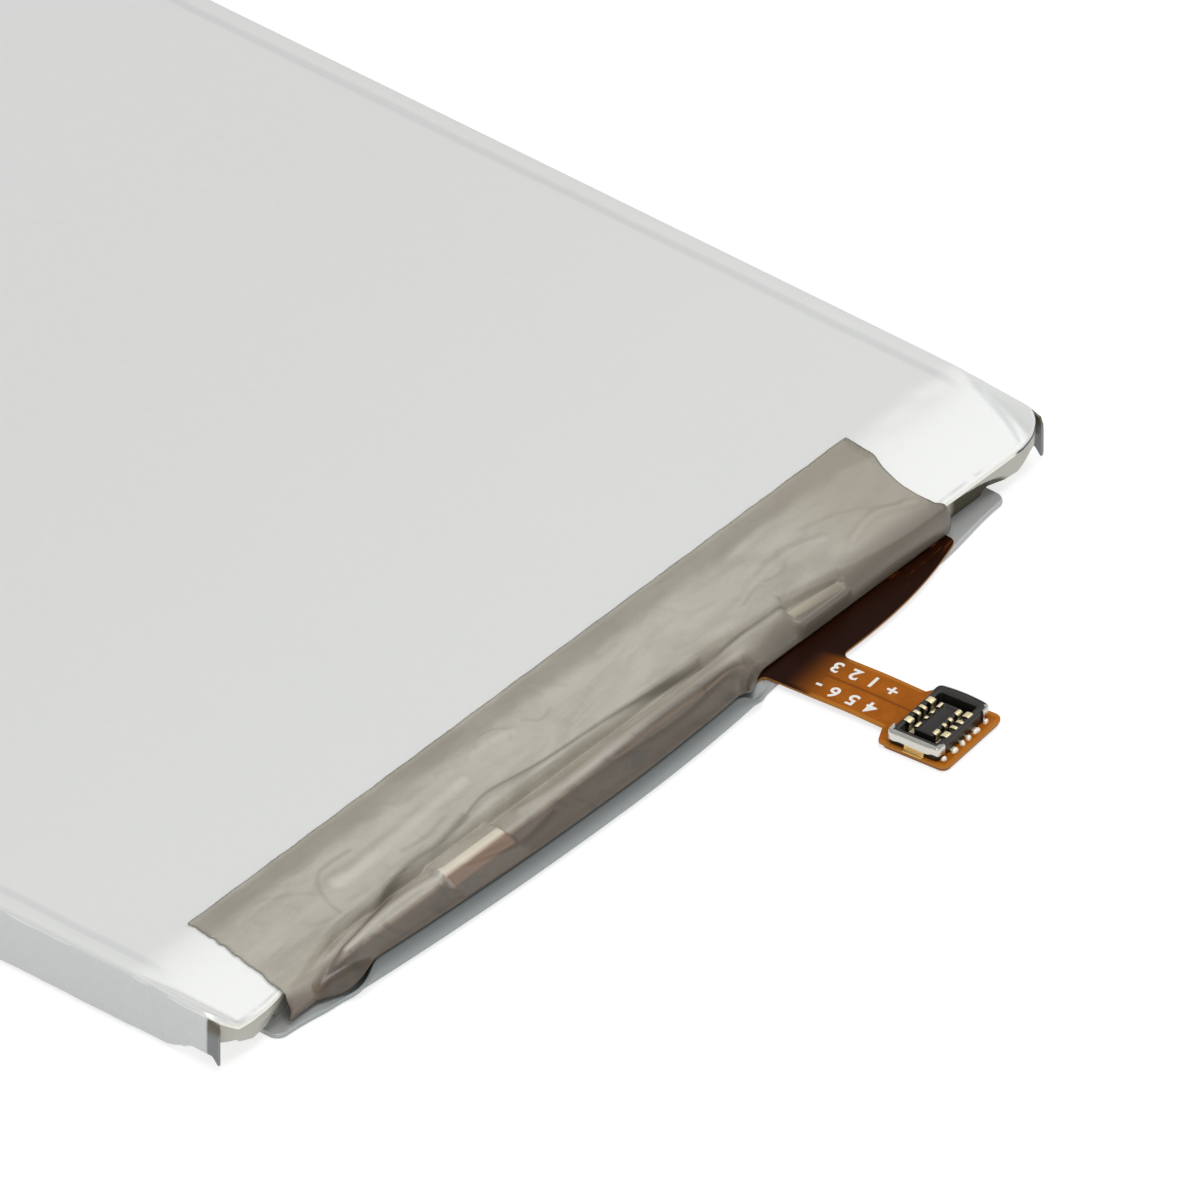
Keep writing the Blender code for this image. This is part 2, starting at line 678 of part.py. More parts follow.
def leaded(name, length, depth, height, centre, group, cutters, finish):
    """A moulded chip with three flat leads that pass under it."""
    size = (length, depth - 2 * LEAD_REACH, height - LEAD_HEIGHT / 3)
    place = Vector(centre) + Vector((0, 0, LEAD_HEIGHT / 6))
    body = box(name, size, place, group, finish, BLOCK_ROUNDING / 2, 1)
    for number, share in enumerate((-LEAD_SPREAD, 0.0, LEAD_SPREAD), 1):
        spot = (centre[0] + share * length, centre[1], centre[2] - height / 2 + LEAD_HEIGHT / 2)
        lead = box(f"{name}_lead_{number}", (LEAD_WIDTH, depth, LEAD_HEIGHT), spot, cutters)
        join(body, lead, "UNION")
    return body


def board_parts(parts, cutters, finishes):
    """The inner row of small parts on the board, and the tall part on the flexible circuit."""
    places = board_places()
    for name, length, depth, height, kind in BOARD_PARTS:
        centre = (places[name], END_Y - PARTS_REACH, BOARD_TOP + FIT + height / 2)
        if kind == "chip":
            chip(name, length, depth, height, centre, parts, finishes["chip"])
        elif kind == "leaded":
            leaded(name, length, depth, height, centre, parts, cutters, finishes["moulding"])
        else:
            box(name, (length, depth, height), centre, parts, finishes["moulding"], BLOCK_ROUNDING)
    centre = (GAUGE_X, END_Y - gauge_reach(), FLEX_TOP + FIT + GAUGE_HEIGHT / 2)
    box("gauge_ic", (GAUGE_LENGTH, GAUGE_DEPTH, GAUGE_HEIGHT), centre, parts, finishes["moulding"], BLOCK_ROUNDING)


def tabs(parts, finishes):
    """Each cell tab leaves the lip's free edge over its film and folds down onto its weld plate."""
    for pole, x in tab_places().items():
        spot = (x, END_Y - PLATE_REACH, BOARD_TOP + FIT + PLATE_THICKNESS / 2)
        size = (PLATE_LENGTH, PLATE_DEPTH, PLATE_THICKNESS)
        box(f"{pole}_weld_plate", size, spot, parts, finishes["nickel"], THIN_ROUNDING, 1)
        root = min(point.x for point in lip_centreline(x)[4:]) - LIP_THICKNESS / 2 - FIT
        top = LIP_HEIGHT - TAB_THICKNESS
        welded = PLATE_TOP + FIT + TAB_THICKNESS / 2
        bend = root - TAB_ROOT
        path = [(root, top), (bend, top), (bend - TAB_BEND, welded), (PLATE_REACH - PLATE_DEPTH / 2, welded)]
        profile = [(END_Y - reach, height) for reach, height in path]
        tab = bent_strip(f"{pole}_tab", profile, TAB_WIDTH, TAB_THICKNESS, parts, finishes["nickel"])
        tab.location.x = x
        drop = (TAB_THICKNESS + TAB_FILM_THICKNESS) / 2 + FIT
        film_path = [(root, top - drop), (bend + 2 * FIT, top - drop)]
        profile = [(END_Y - reach, height) for reach, height in film_path]
        width = TAB_WIDTH + 2 * TAB_FILM_MARGIN
        film = bent_strip(f"{pole}_tab_film", profile, width, TAB_FILM_THICKNESS, parts, finishes["film"])
        film.location.x = x


def flex_outline():
    """Plan of the flexible circuit: its root follows the end wall, and its neck and pad follow the tail."""
    neck = NECK_WIDTH / 2
    pad_left = PAD_OFFSET - PAD_WIDTH / 2
    pad_right = PAD_OFFSET + PAD_WIDTH / 2
    pad_end = PAD_START + PAD_LENGTH
    root_reach = ROOT_END_REACH + ROOT_TAPER
    right_x, _ = tail_point(neck, root_reach)
    left_x, _ = tail_point(-neck, BOARD_OUTER)
    steps = 9
    inner = [mix(FLEX_LEFT, TAPE_RIGHT, step / 24) for step in range(25)]
    corners = [(x, END_Y - wall_reach(x) - SIDE_FIT, 0.0) for x in inner]
    corners.append((TAPE_RIGHT, END_Y - ROOT_END_REACH, ROOT_CORNER))
    for step in range(1, steps):
        share = 1.0 - step / steps
        x = mix(right_x, TAPE_RIGHT, share)
        corners.append((x, END_Y - root_reach + ROOT_TAPER * share**ROOT_TAPER_POWER, 0.0))
    corners += [
        (right_x, END_Y - root_reach, NECK_FILLET),
        (*tail_point(neck, PAD_START - PAD_SHOULDER), 0.0),
        (*tail_point(pad_right, PAD_START), 0.0),
        (*tail_point(pad_right, pad_end), PAD_CORNER),
        (*tail_point(pad_left, pad_end), PAD_CORNER),
        (*tail_point(pad_left, PAD_START), PAD_CORNER),
        (*tail_point(-neck, PAD_START), 0.0),
        (left_x, END_Y - BOARD_OUTER, NECK_FILLET),
        (FLEX_LEFT, END_Y - BOARD_OUTER, 0.0),
    ]
    return rounded_outline(corners)


def tail_height(along):
    """How far the tail lies above its root, along its length: a low bow, then the pad near the ground."""
    share = (along - BEND_START) / (PAD_START - BEND_START)
    share = min(max(share, 0.0), 1.0)
    return (PAD_BOTTOM - FLEX_BOTTOM) * ease(share) + NECK_BOW * math.sin(math.pi * share) ** 2


def flex_circuit(parts, finish):
    """The flexible circuit: a flat sheet, cut into short lengths along the neck and bent."""
    flex = extruded("flex_circuit", flex_outline(), FLEX_BOTTOM, FLEX_TOP, parts, finish)
    bm = bmesh.new()
    bm.from_mesh(flex.data)
    frame = tail_matrix()
    direction = frame.to_3x3() @ Vector((0, -1, 0))
    bends = 12
    for step in range(bends + 1):
        along = mix(BEND_START, PAD_START, step / bends)
        geometry = bm.verts[:] + bm.edges[:] + bm.faces[:]
        place = frame @ Vector((0, -along, 0))
        bmesh.ops.bisect_plane(bm, geom=geometry, plane_co=place, plane_no=direction, dist=0.001 * MM)
    for vert in bm.verts:
        along = (vert.co - frame.translation).dot(direction)
        vert.co.z += tail_height(along)
    bmesh.ops.triangulate(bm, faces=bm.faces)
    bm.to_mesh(flex.data)
    bm.free()
    return flex


def stiffener(parts, frame, finish):
    """The stiff plate under the pad."""
    left = PAD_OFFSET - PAD_WIDTH / 2 + STIFFENER_INSET
    right = PAD_OFFSET + PAD_WIDTH / 2 - STIFFENER_INSET
    near = -PAD_START - STIFFENER_INSET
    far = -(PAD_START + PAD_LENGTH) + STIFFENER_INSET
    corners = [(left, near), (left, far), (right, far), (right, near)]
    outline = rounded_outline([(x, y, PAD_CORNER - STIFFENER_INSET) for x, y in corners])
    plate = extruded("flex_stiffener", outline, FIT, STIFFENER_TOP, parts, finish)
    plate.parent = frame


def rectangle(length, depth, radius):
    """Outline of a rounded rectangle about the origin."""
    x = length / 2
    y = depth / 2
    return rounded_outline([(-x, -y, radius), (x, -y, radius), (x, y, radius), (-x, y, radius)], 3)


def contact_rows():
    """Every contact: its name, place along the row, width and side."""
    rows = []
    for side in (1, -1):
        for kind, width, offset in (("power", POWER_WIDTH, POWER_OFFSET), ("signal", SIGNAL_WIDTH, SIGNAL_OFFSET)):
            for end in (-1, 1):
                number = 1 + sum(name.startswith(kind) for name, _, _, _ in rows)
                rows.append((f"{kind}_contact_{number}", end * offset, width, side))
    return rows


def slot_cutter(group):
    """One slot for each contact: down through the wall's inner half, and out under the wall for its tail."""
    half = HOUSING_DEPTH / 2
    inner = half - HOUSING_SIDE_WALL - 0.3 * CHANNEL_WIDTH
    cheek = half - HOUSING_CHEEK
    out = half + 2 * CONTACT_TAIL
    tail_top = CONTACT_THICKNESS + FIT
    deep = -HOUSING_FLOOR
    high = HOUSING_HEIGHT + HOUSING_FLOOR
    shape = [(inner, deep), (out, deep), (out, tail_top), (cheek, tail_top), (cheek, high), (inner, high)]
    bm = bmesh.new()
    for _, x, width, side in contact_rows():
        reach = width / 2 + FIT
        ends = [[bm.verts.new((x + end, side * y, z)) for y, z in shape] for end in (-reach, reach)]
        for index in range(len(shape)):
            after = (index + 1) % len(shape)
            bm.faces.new((ends[0][index], ends[0][after], ends[1][after], ends[1][index]))
        bm.faces.new(ends[0])
        bm.faces.new(ends[1])
    return mesh_object("contact_slots", bm, group)


def receptacle_frame(frame):
    """The empty at the centre of the receptacle's underside."""
    centre = bpy.data.objects.new("receptacle_frame", None)
    bpy.context.scene.collection.objects.link(centre)
    centre.parent = frame
    centre.location = (HOUSING_OFFSET, -HOUSING_REACH, HOUSING_BOTTOM)
    return centre


def connector_housing(parts, cutters, frame, finish):
    """The receptacle: outer wall, ring channel and central island, with a slot for each contact."""
    outline = rectangle(HOUSING_LENGTH, HOUSING_DEPTH, HOUSING_CORNER)
    housing = extruded("connector_housing", outline, 0.0, HOUSING_HEIGHT, parts, finish)
    pocket_length = HOUSING_LENGTH - 2 * HOUSING_END_WALL
    pocket_depth = HOUSING_DEPTH - 2 * HOUSING_SIDE_WALL
    pocket = rectangle(pocket_length, pocket_depth, HOUSING_CORNER)
    island = rectangle(pocket_length - 2 * CHANNEL_END_WIDTH, pocket_depth - 2 * CHANNEL_WIDTH, HOUSING_CORNER)
    above = HOUSING_HEIGHT + HOUSING_FLOOR
    well = extruded("well_cutter", pocket, HOUSING_HEIGHT - ISLAND_DROP, above, cutters)
    ring = extruded("ring_cutter", pocket, HOUSING_FLOOR, above, cutters, hole=island)
    for piece in (housing, well, ring):
        piece.parent = frame
    slots = slot_cutter(cutters)
    slots.parent = frame
    join(housing, well, "DIFFERENCE")
    join(housing, ring, "DIFFERENCE")
    join(housing, slots, "DIFFERENCE")
    return housing


def contacts(parts, frame, finish):
    """Each contact: a solder tail, an arch in the wall's slot, a run along the channel and an inner spring arm."""
    half = HOUSING_DEPTH / 2
    wall_side = half - HOUSING_SIDE_WALL
    island_side = wall_side - CHANNEL_WIDTH
    centre = CONTACT_THICKNESS / 2
    floor = HOUSING_FLOOR + FIT + centre
    top = HOUSING_HEIGHT - ISLAND_DROP - centre
    back = half - HOUSING_CHEEK - FIT - centre
    front = wall_side - CONTACT_PROUD
    arm = island_side + FIT + ARM_GAP + centre
    bend = CONTACT_BEND
    profile = [
        (half + CONTACT_TAIL, centre),
        (back + bend, centre),
        (back, centre + bend),
        (back, top - bend),
        (back - bend, top),
        (front + bend, top),
        (front, top - bend),
        (front, floor + bend),
        (front - bend, floor),
        (arm + bend, floor),
        (arm, floor + bend),
        (arm, top - 2.6 * bend),
        (arm + bend, top - 1.2 * bend),
    ]
    for name, x, width, side in contact_rows():
        contact = bent_strip(name, [(side * y, z) for y, z in profile], width, CONTACT_THICKNESS, parts, finish)
        contact.location.x = x
        contact.parent = frame


def hold_downs(parts, frame, finish):
    """The metal band over each short end of the receptacle, with a foot on the pad."""
    centre = BAND_THICKNESS / 2
    face = HOUSING_LENGTH / 2 + FIT + centre
    top = HOUSING_HEIGHT + FIT + centre
    profile = [
        (face + BAND_FOOT, centre),
        (face + BAND_BEND, centre),
        (face, centre + BAND_BEND),
        (face, top - BAND_BEND),
        (face - BAND_BEND, top),
        (face - BAND_RETURN, top),
    ]
    for name, side in (("hold_down_near", -1), ("hold_down_far", 1)):
        turned = [(side * along, height) for along, height in profile]
        band = bent_strip(name, turned, BAND_DEPTH, BAND_THICKNESS, parts, finish)
        band.rotation_euler.z = -math.pi / 2
        band.parent = frame


def main():
    for old in list(bpy.data.objects):
        bpy.data.objects.remove(old)
    parts = collection("phone_battery")
    cutters = collection("cutters")
    finishes = {
        "pouch": material("pouch_laminate", (0.74, 0.74, 0.73), 0.35, 0.2),
        "tape": material("end_tape", (0.46, 0.41, 0.35), 0.3),
        "flex": material("flexible_circuit", (0.42, 0.16, 0.03), 0.3),
        "stiffener": material("stiffener", (0.30, 0.15, 0.05), 0.5),
        "board": material("board", (0.05, 0.12, 0.06), 0.45),
        "film": material("film", (0.75, 0.72, 0.62), 0.4),
        "nickel": material("nickel", (0.66, 0.64, 0.58), 0.3, 1.0),
        "chip": material("chip", (0.35, 0.28, 0.20), 0.5),
        "moulding": material("moulding", (0.03, 0.03, 0.03), 0.5),
        "housing": material("receptacle", (0.02, 0.02, 0.02), 0.45),
        "gilt": material("gilt", (0.85, 0.60, 0.22), 0.25, 1.0),
    }
    frame = bpy.data.objects.new("tail_frame", None)
    bpy.context.scene.collection.objects.link(frame)
    frame.location = (TAIL_X, END_Y, 0.0)
    frame.rotation_euler.z = TAIL_YAW
    pouch_cell(parts, cutters, finishes["pouch"])
    board(parts, finishes)
    board_parts(parts, cutters, finishes)
    tabs(parts, finishes)
    end_tape(parts, finishes["tape"])
    flex_circuit(parts, finishes["flex"])
    stiffener(parts, frame, finishes["stiffener"])
    centre = receptacle_frame(frame)
    connector_housing(parts, cutters, centre, finishes["housing"])
    contacts(parts, centre, finishes["gilt"])
    hold_downs(parts, centre, finishes["nickel"])
    bpy.context.view_layer.update()


main()
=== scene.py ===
"""Dresses a flat pouch battery: laminate pouch, crumpled tape, flexible circuit, receptacle and a stage."""

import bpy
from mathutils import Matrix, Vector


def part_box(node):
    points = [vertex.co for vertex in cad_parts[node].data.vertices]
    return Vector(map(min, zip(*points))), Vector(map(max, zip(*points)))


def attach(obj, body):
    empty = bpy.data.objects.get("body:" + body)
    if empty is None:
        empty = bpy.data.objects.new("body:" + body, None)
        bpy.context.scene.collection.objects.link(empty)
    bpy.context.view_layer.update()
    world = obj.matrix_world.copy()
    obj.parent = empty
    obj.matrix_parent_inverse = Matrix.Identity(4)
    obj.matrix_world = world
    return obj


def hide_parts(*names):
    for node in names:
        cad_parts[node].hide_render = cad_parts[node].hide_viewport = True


bl_info = {
    "name": "Pouch Battery Finish",
    "version": (1, 0, 0),
    "blender": (4, 5, 0),
    "location": "3D View > Sidebar > Battery",
    "description": "Builds the finished surfaces of a flat pouch battery around its packed frame",
    "category": "Object",
}

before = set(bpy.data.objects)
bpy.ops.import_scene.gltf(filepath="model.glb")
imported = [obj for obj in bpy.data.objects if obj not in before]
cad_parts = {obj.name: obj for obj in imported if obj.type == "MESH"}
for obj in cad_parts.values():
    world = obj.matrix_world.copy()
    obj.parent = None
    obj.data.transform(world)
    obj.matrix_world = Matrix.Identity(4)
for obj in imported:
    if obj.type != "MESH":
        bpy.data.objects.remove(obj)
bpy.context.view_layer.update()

import math

import bmesh
import bpy
import numpy as np
from mathutils import Matrix, Vector, noise

MM = 0.001
BODY = "root"

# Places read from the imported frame, in millimetres
CELL_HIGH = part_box("pouch_cell")[1]
GAUGE_LOW, GAUGE_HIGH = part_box("gauge_ic")
FUSE_LOW, FUSE_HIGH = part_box("thermal_fuse")
TAPE_LEFT, TAPE_RIGHT = (corner.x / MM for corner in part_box("end_tape"))
FLEX_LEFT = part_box("flex_circuit")[0].x / MM
BOARD_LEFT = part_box("protection_board")[0].x / MM
SEAM_THICKNESS = 0.22
END = -CELL_HIGH.y / MM
RIGHT = CELL_HIGH.x / MM - SEAM_THICKNESS

# The tail's own frame: its origin on the end wall's line, its -Y along the tail
TAIL_FROM_TAPE_END = 13.76
TAIL_YAW = math.radians(5.0)
TAIL_ORIGIN = Vector((TAPE_RIGHT - TAIL_FROM_TAPE_END, END, 0.0)) * MM
TAIL_FRAME = Matrix.Translation(TAIL_ORIGIN) @ Matrix.Rotation(TAIL_YAW, 4, "Z")

# The photograph's view, in a frame of 1200 by 1200 pixels
VIEW_AZIMUTH = math.radians(-50.7)
VIEW_ELEVATION = math.radians(37.2)
VIEW_TARGET = Vector((9.01, -32.13, 0.9)) * MM
VIEW_WIDTH = 63.2 * MM
VIEW_DISTANCE = 2.9
SENSOR_WIDTH = 36.0

# Square softboxes that face the terminal end: name, place and side in metres, power in watts
LAMPS = (
    ("slope_softbox", (0.62, -0.06, 0.86), 0.8, 2.1),
    ("key", (-0.15, -0.2, 1.1), 0.5, 3.9),
    ("front_fill", (-0.55, -0.75, 0.5), 0.6, 1.5),
)
DOME_STRENGTH = 0.5
FLOOR_SIZE = 3.0
FLOOR_DROP = 0.02
FLOOR_GLOW = 1.3
FLOOR_GLOW_SHARE = 0.55


def ease(share):
    """0 to 1 with a level start and end, for numbers and arrays."""
    share = np.clip(share, 0.0, 1.0)
    return share * share * (3.0 - 2.0 * share)


def mix(low, high, share):
    return low + (high - low) * share


class Value:
    """A shader socket that holds a number, so that shader maths reads as an ordinary expression."""

    def __init__(self, finish, socket):
        self.finish = finish
        self.socket = socket

    def maths(self, operation, *operands):
        node = self.finish.node("ShaderNodeMath", {"operation": operation}, dict(enumerate(operands)))
        return Value(self.finish, node.outputs[0])

    def __add__(self, other):
        return self.maths("ADD", self, other)

    def __mul__(self, other):
        return self.maths("MULTIPLY", self, other)

    __radd__, __rmul__ = __add__, __mul__

    def __sub__(self, other):
        return self.maths("SUBTRACT", self, other)

    def __rsub__(self, other):
        return self.maths("SUBTRACT", other, self)

    def __pow__(self, other):
        return self.maths("POWER", self, other)

    def __abs__(self):
        return self.maths("ABSOLUTE", self)

    def most(self, other):
        return self.maths("MAXIMUM", self, other)

    def ramp(self, low, high):
        """0 at low and 1 at high, with level ends; low may lie above high."""
        sockets = {0: self, 1: low, 2: high}
        node = self.finish.node("ShaderNodeMapRange", {"interpolation_type": "SMOOTHSTEP"}, sockets)
        return Value(self.finish, node.outputs[0])

    def band(self, centre, half, soft):
        """1 within half of the centre, and 0 from a soft edge outwards."""
        return abs(self - centre).ramp(half + soft, half)


class Finish:
    """A material under construction: its Principled shader and the nodes that feed it."""

    def __init__(self, name, colour, roughness, metallic=0.0, **sockets):
        self.material = bpy.data.materials.new(name)
        self.material.use_nodes = True
        self.material.diffuse_color = (*colour, 1.0)
        self.tree = self.material.node_tree
        self.shader = self.tree.nodes["Principled BSDF"]
        self.colour = colour
        self.set("Base Color", (*colour, 1.0))
        self.set("Roughness", roughness)
        self.set("Metallic", metallic)
        for socket, value in sockets.items():
            self.set(socket.replace("_", " ").title().replace("Ior", "IOR"), value)

    def node(self, kind, settings=None, sockets=None):
        """A node of a kind, with its settings first and then the values or links of its sockets."""
        made = self.tree.nodes.new(kind)
        for name, value in (settings or {}).items():
            setattr(made, name, value)
        for name, value in (sockets or {}).items():
            self.feed(made.inputs[name], value)
        return made

    def feed(self, socket, value):
        if isinstance(value, Value):
            value = value.socket
        if isinstance(value, bpy.types.NodeSocket):
            self.tree.links.new(value, socket)
        else:
            socket.default_value = value

    def set(self, socket, value):
        self.feed(self.shader.inputs[socket], value)

    def value(self, socket):
        return Value(self, socket)

    def attribute(self, name):
        """The number that paint stored at each point."""
        return self.value(self.node("ShaderNodeAttribute", {"attribute_name": name}).outputs["Fac"])

    def place(self):
        """The object's own coordinates in millimetres, as a vector socket and its three numbers."""
        source = self.node("ShaderNodeTexCoord").outputs["Object"]
        scaled = self.node("ShaderNodeVectorMath", {"operation": "SCALE"}, {0: source, "Scale": 1.0 / MM})
        parts = self.node("ShaderNodeSeparateXYZ", None, {0: scaled.outputs[0]})
        return scaled.outputs[0], *(self.value(parts.outputs[axis]) for axis in range(3))

    def stretched(self, place, scales):
        """The place with each axis scaled, for streaks."""
        node = self.node("ShaderNodeVectorMath", {"operation": "MULTIPLY"}, {0: place, 1: scales})
        return node.outputs[0]

    def noise(self, place, scale, detail=3.0, roughness=0.5, distortion=0.0):
        sockets = {"Vector": place, "Scale": scale, "Detail": detail, "Roughness": roughness}
        sockets["Distortion"] = distortion
        return self.value(self.node("ShaderNodeTexNoise", None, sockets).outputs["Fac"])

    def cells(self, place, scale):
        sockets = {"Vector": place, "Scale": scale}
        return self.value(self.node("ShaderNodeTexVoronoi", None, sockets).outputs["Distance"])

    def blend(self, share, first, second):
        """A colour between two others, each a socket or linear numbers."""
        first, second = ((*colour, 1.0) if isinstance(colour, tuple) else colour for colour in (first, second))
        sockets = {"Factor": share, 6: first, 7: second}
        return self.node("ShaderNodeMix", {"data_type": "RGBA"}, sockets).outputs[2]

    def layer(self, share, *display_colour):
        """Lays a display colour over the base colour so far."""
        self.colour = self.blend(share, self.colour, linear(*display_colour))
        self.set("Base Color", self.colour)

    def upright(self):
        """0 on a face that lies level and 1 on one that stands upright."""
        normal = self.node("ShaderNodeNewGeometry").outputs["True Normal"]
        return 1.0 - abs(self.value(self.node("ShaderNodeSeparateXYZ", None, {0: normal}).outputs[2]))

    def bump(self, height, strength, distance):
        """Feeds a height in millimetres to the shader's normal."""
        sockets = {"Height": height, "Strength": strength, "Distance": distance}
        self.set("Normal", self.node("ShaderNodeBump", None, sockets).outputs[0])


def linear(red, green, blue):
    """A display colour from 0 to 255 as linear numbers."""
    shares = (red / 255, green / 255, blue / 255)
    return tuple(share / 12.92 if share <= 0.04045 else ((share + 0.055) / 1.055) ** 2.4 for share in shares)


def add_piece(name, points, faces, finish, slot, nodes=(), sharp=math.radians(35), matrix=None):
    """A mesh that rides on the battery, with its finish and the CAD nodes that it stands for; its slot is not
    used.
    """
    mesh = bpy.data.meshes.new(name)
    mesh.from_pydata([tuple(point) for point in points], [], faces)
    return add_mesh(name, mesh, finish, nodes, sharp, matrix)


def add_mesh(name, mesh, finish, nodes=(), sharp=math.radians(35), matrix=None):
    mesh.materials.clear()
    mesh.materials.append(finish)
    mesh.shade_smooth()
    mesh.set_sharp_from_angle(angle=sharp)
    piece = bpy.data.objects.new(name, mesh)
    bpy.context.scene.collection.objects.link(piece)
    if matrix is not None:
        piece.matrix_world = matrix
    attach(piece, BODY)
    if nodes:
        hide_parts(*nodes)
    return piece


def quads(rows, columns, closed=False, start=0):
    """Faces between rows of points, each row closed on itself or open."""
    faces = []
    for row in range(rows - 1):
        for column in range(columns if closed else columns - 1):
            after = (column + 1) % columns
            near = start + row * columns
            faces.append((near + column, near + after, near + columns + after, near + columns + column))
    return faces


def loft(rings):
    """Points and faces through closed rings of equal count, closed at both ends."""
    count = len(rings[0])
    faces = quads(len(rings), count, closed=True)
    faces.append(tuple(reversed(range(count))))
    faces.append(tuple(range((len(rings) - 1) * count, len(rings) * count)))
    return np.concatenate([np.array(ring, float) for ring in rings]), faces


def graded(start, *runs):
    """Places along a line, from runs of (end, number of steps)."""
    places = [start]
    for end, steps in runs:
        places.extend(np.linspace(places[-1], end, steps + 1)[1:])
    return np.array(places)


def smooth_path(points, count):
    """A Catmull-Rom curve through the points, read at evenly spread parameters."""
    points = np.asarray(points, float)
    ends = np.concatenate([[2 * points[0] - points[1]], points, [2 * points[-1] - points[-2]]])
    place = np.linspace(0, len(points) - 1, count)
    index = np.minimum(place.astype(int), len(points) - 2)
    t = (place - index)[:, None]
    a, b, c, d = (ends[index + step] for step in range(4))
    return 0.5 * (2 * b + (c - a) * t + (2 * a - 5 * b + 4 * c - d) * t**2 + (3 * b - a - 3 * c + d) * t**3)


def headings(lines):
    """The unit direction at each point of a line, or of several."""
    along = np.gradient(lines, axis=-2)
    return along / np.maximum(np.linalg.norm(along, axis=-1, keepdims=True), 1e-6)


def rough(points, scale, seed=0.0, octaves=3):
    """Smooth noise from -1 to 1 at each point."""
    shift = Vector((seed, 2.0 * seed, 3.0 * seed))
    return np.array([noise.fractal(Vector(point) * scale + shift, 1.0, 2.0, octaves) for point in points])


def stroke(x, y, path, half):
    """How near each point lies to a given line: 1 on it, 0 at its half width and beyond."""
    best = np.full(np.shape(x), np.inf)
    if len(path) > 2:
        path = smooth_path(path, 5 * len(path))
    for (ax, ay), (bx, by) in zip(path, path[1:]):
        length = (bx - ax) ** 2 + (by - ay) ** 2
        along = np.clip(((x - ax) * (bx - ax) + (y - ay) * (by - ay)) / length, 0.0, 1.0)
        gap = np.hypot(x - ax - along * (bx - ax), y - ay - along * (by - ay))
        best = np.minimum(best, gap)
    return 1.0 - ease(best / half)


def paint(mesh, name, values):
    """Stores one number for each point, for a finish to read."""
    attribute = mesh.attributes.new(name, "FLOAT", "POINT")
    attribute.data.foreach_set("value", np.asarray(values, np.float32))


# The pouch's form, in millimetres
CORNER_RADIUS = 1.3
SLOPE_LENGTH = 6.4
SLOPE_DROP = 1.5
SLOPE_CORNER_SHARE = 0.2
FOLD_INSET = 1.65
FOLD_TAPER = 0.28
SIDE_BEAD = 0.08
CORNER_FOOT = ((29.7, 30.5, 31.3, 32.0, 32.5, 33.0, 34.2), (1.0, 0.88, 0.79, 0.74, 1.05, 1.5, 1.7))
CORNER_BEVEL = 2.15
CORNER_BEVEL_LIMIT = 2.4
CORNER_START = CORNER_FOOT[0][0]
SHOULDER, END_SHOULDER = 0.2, 0.12
FOOT_INSET, END_FOOT_INSET = 0.9, 0.8
FOOT_HEIGHT, END_FOOT_HEIGHT = 0.9, 1.1
SIDE_CREASE_INSET = 1.15
DRAW_IN = 1.5
SEAM_COVER = 0.15
SEAM_SETBACK = 0.2
SEAM_BACK = 38.0
CELL_WIDTH = 2 * (RIGHT + SEAM_COVER)
CELL_LENGTH = -2 * END
CELL_HEIGHT = CELL_HIGH.z / MM

# Fold and dents in the foil by the right corner; a dent is path, depth, half width
CORNER_FOLD = ((33.6, -37.6), (33.3, -38.6), (32.95, -40.2), (32.4, -41.6))
POUCH_DENTS = (
    (((33.4, -38.6), (33.2, -40.4), (32.9, -41.9)), 0.06, 0.3),
    (((31.9, -36.6), (30.2, -35.9)), 0.03, 0.9),
    (((33.0, -30.8), (33.1, -30.3)), 0.04, 0.5),
    (((27.6, -36.4), (31.0, -36.8)), 0.025, 1.0),
)

# Shares of the way inwards and downwards at which the pouch has a row of points, and turns of its roundings
TOP_ROWS = (0.86, 0.74, 0.64, 0.56, 0.49, 0.43, 0.38, 0.33, 0.28, 0.23, 0.18, 0.14, 0.10, 0.065, 0.035, 0.015)
WALL_ROWS = (0.02, 0.05, 0.09, 0.15, 0.22, 0.30, 0.40, 0.50, 0.60, 0.70, 0.80, 0.90, 1.0)
SHOULDER_TURNS = np.radians((90, 75, 60, 45, 30, 15, 0))
FOOT_TURNS = np.radians((15, 30, 45, 60, 75, 90))


def wall_reach(x):
    """Reach of the end wall, drawn in behind the board."""
    left = ease((x + RIGHT - 3.0) / 9.0)
    right = ease((RIGHT - 10.0 - x) / 14.0)
    return -DRAW_IN * left * right


def top_height(x, reach):
    """Height of the pouch's top face, which slopes down towards the end wall."""
    share = np.clip(1.0 + reach / SLOPE_LENGTH, 0.0, 1.0)
    fold = np.maximum(FOLD_INSET + FOLD_TAPER * reach, 0.2)
    across = mix(SLOPE_CORNER_SHARE, 1.0, np.clip((RIGHT - np.abs(x)) / fold, 0.0, 1.0))
    return CELL_HEIGHT - SLOPE_DROP * across * share**1.5


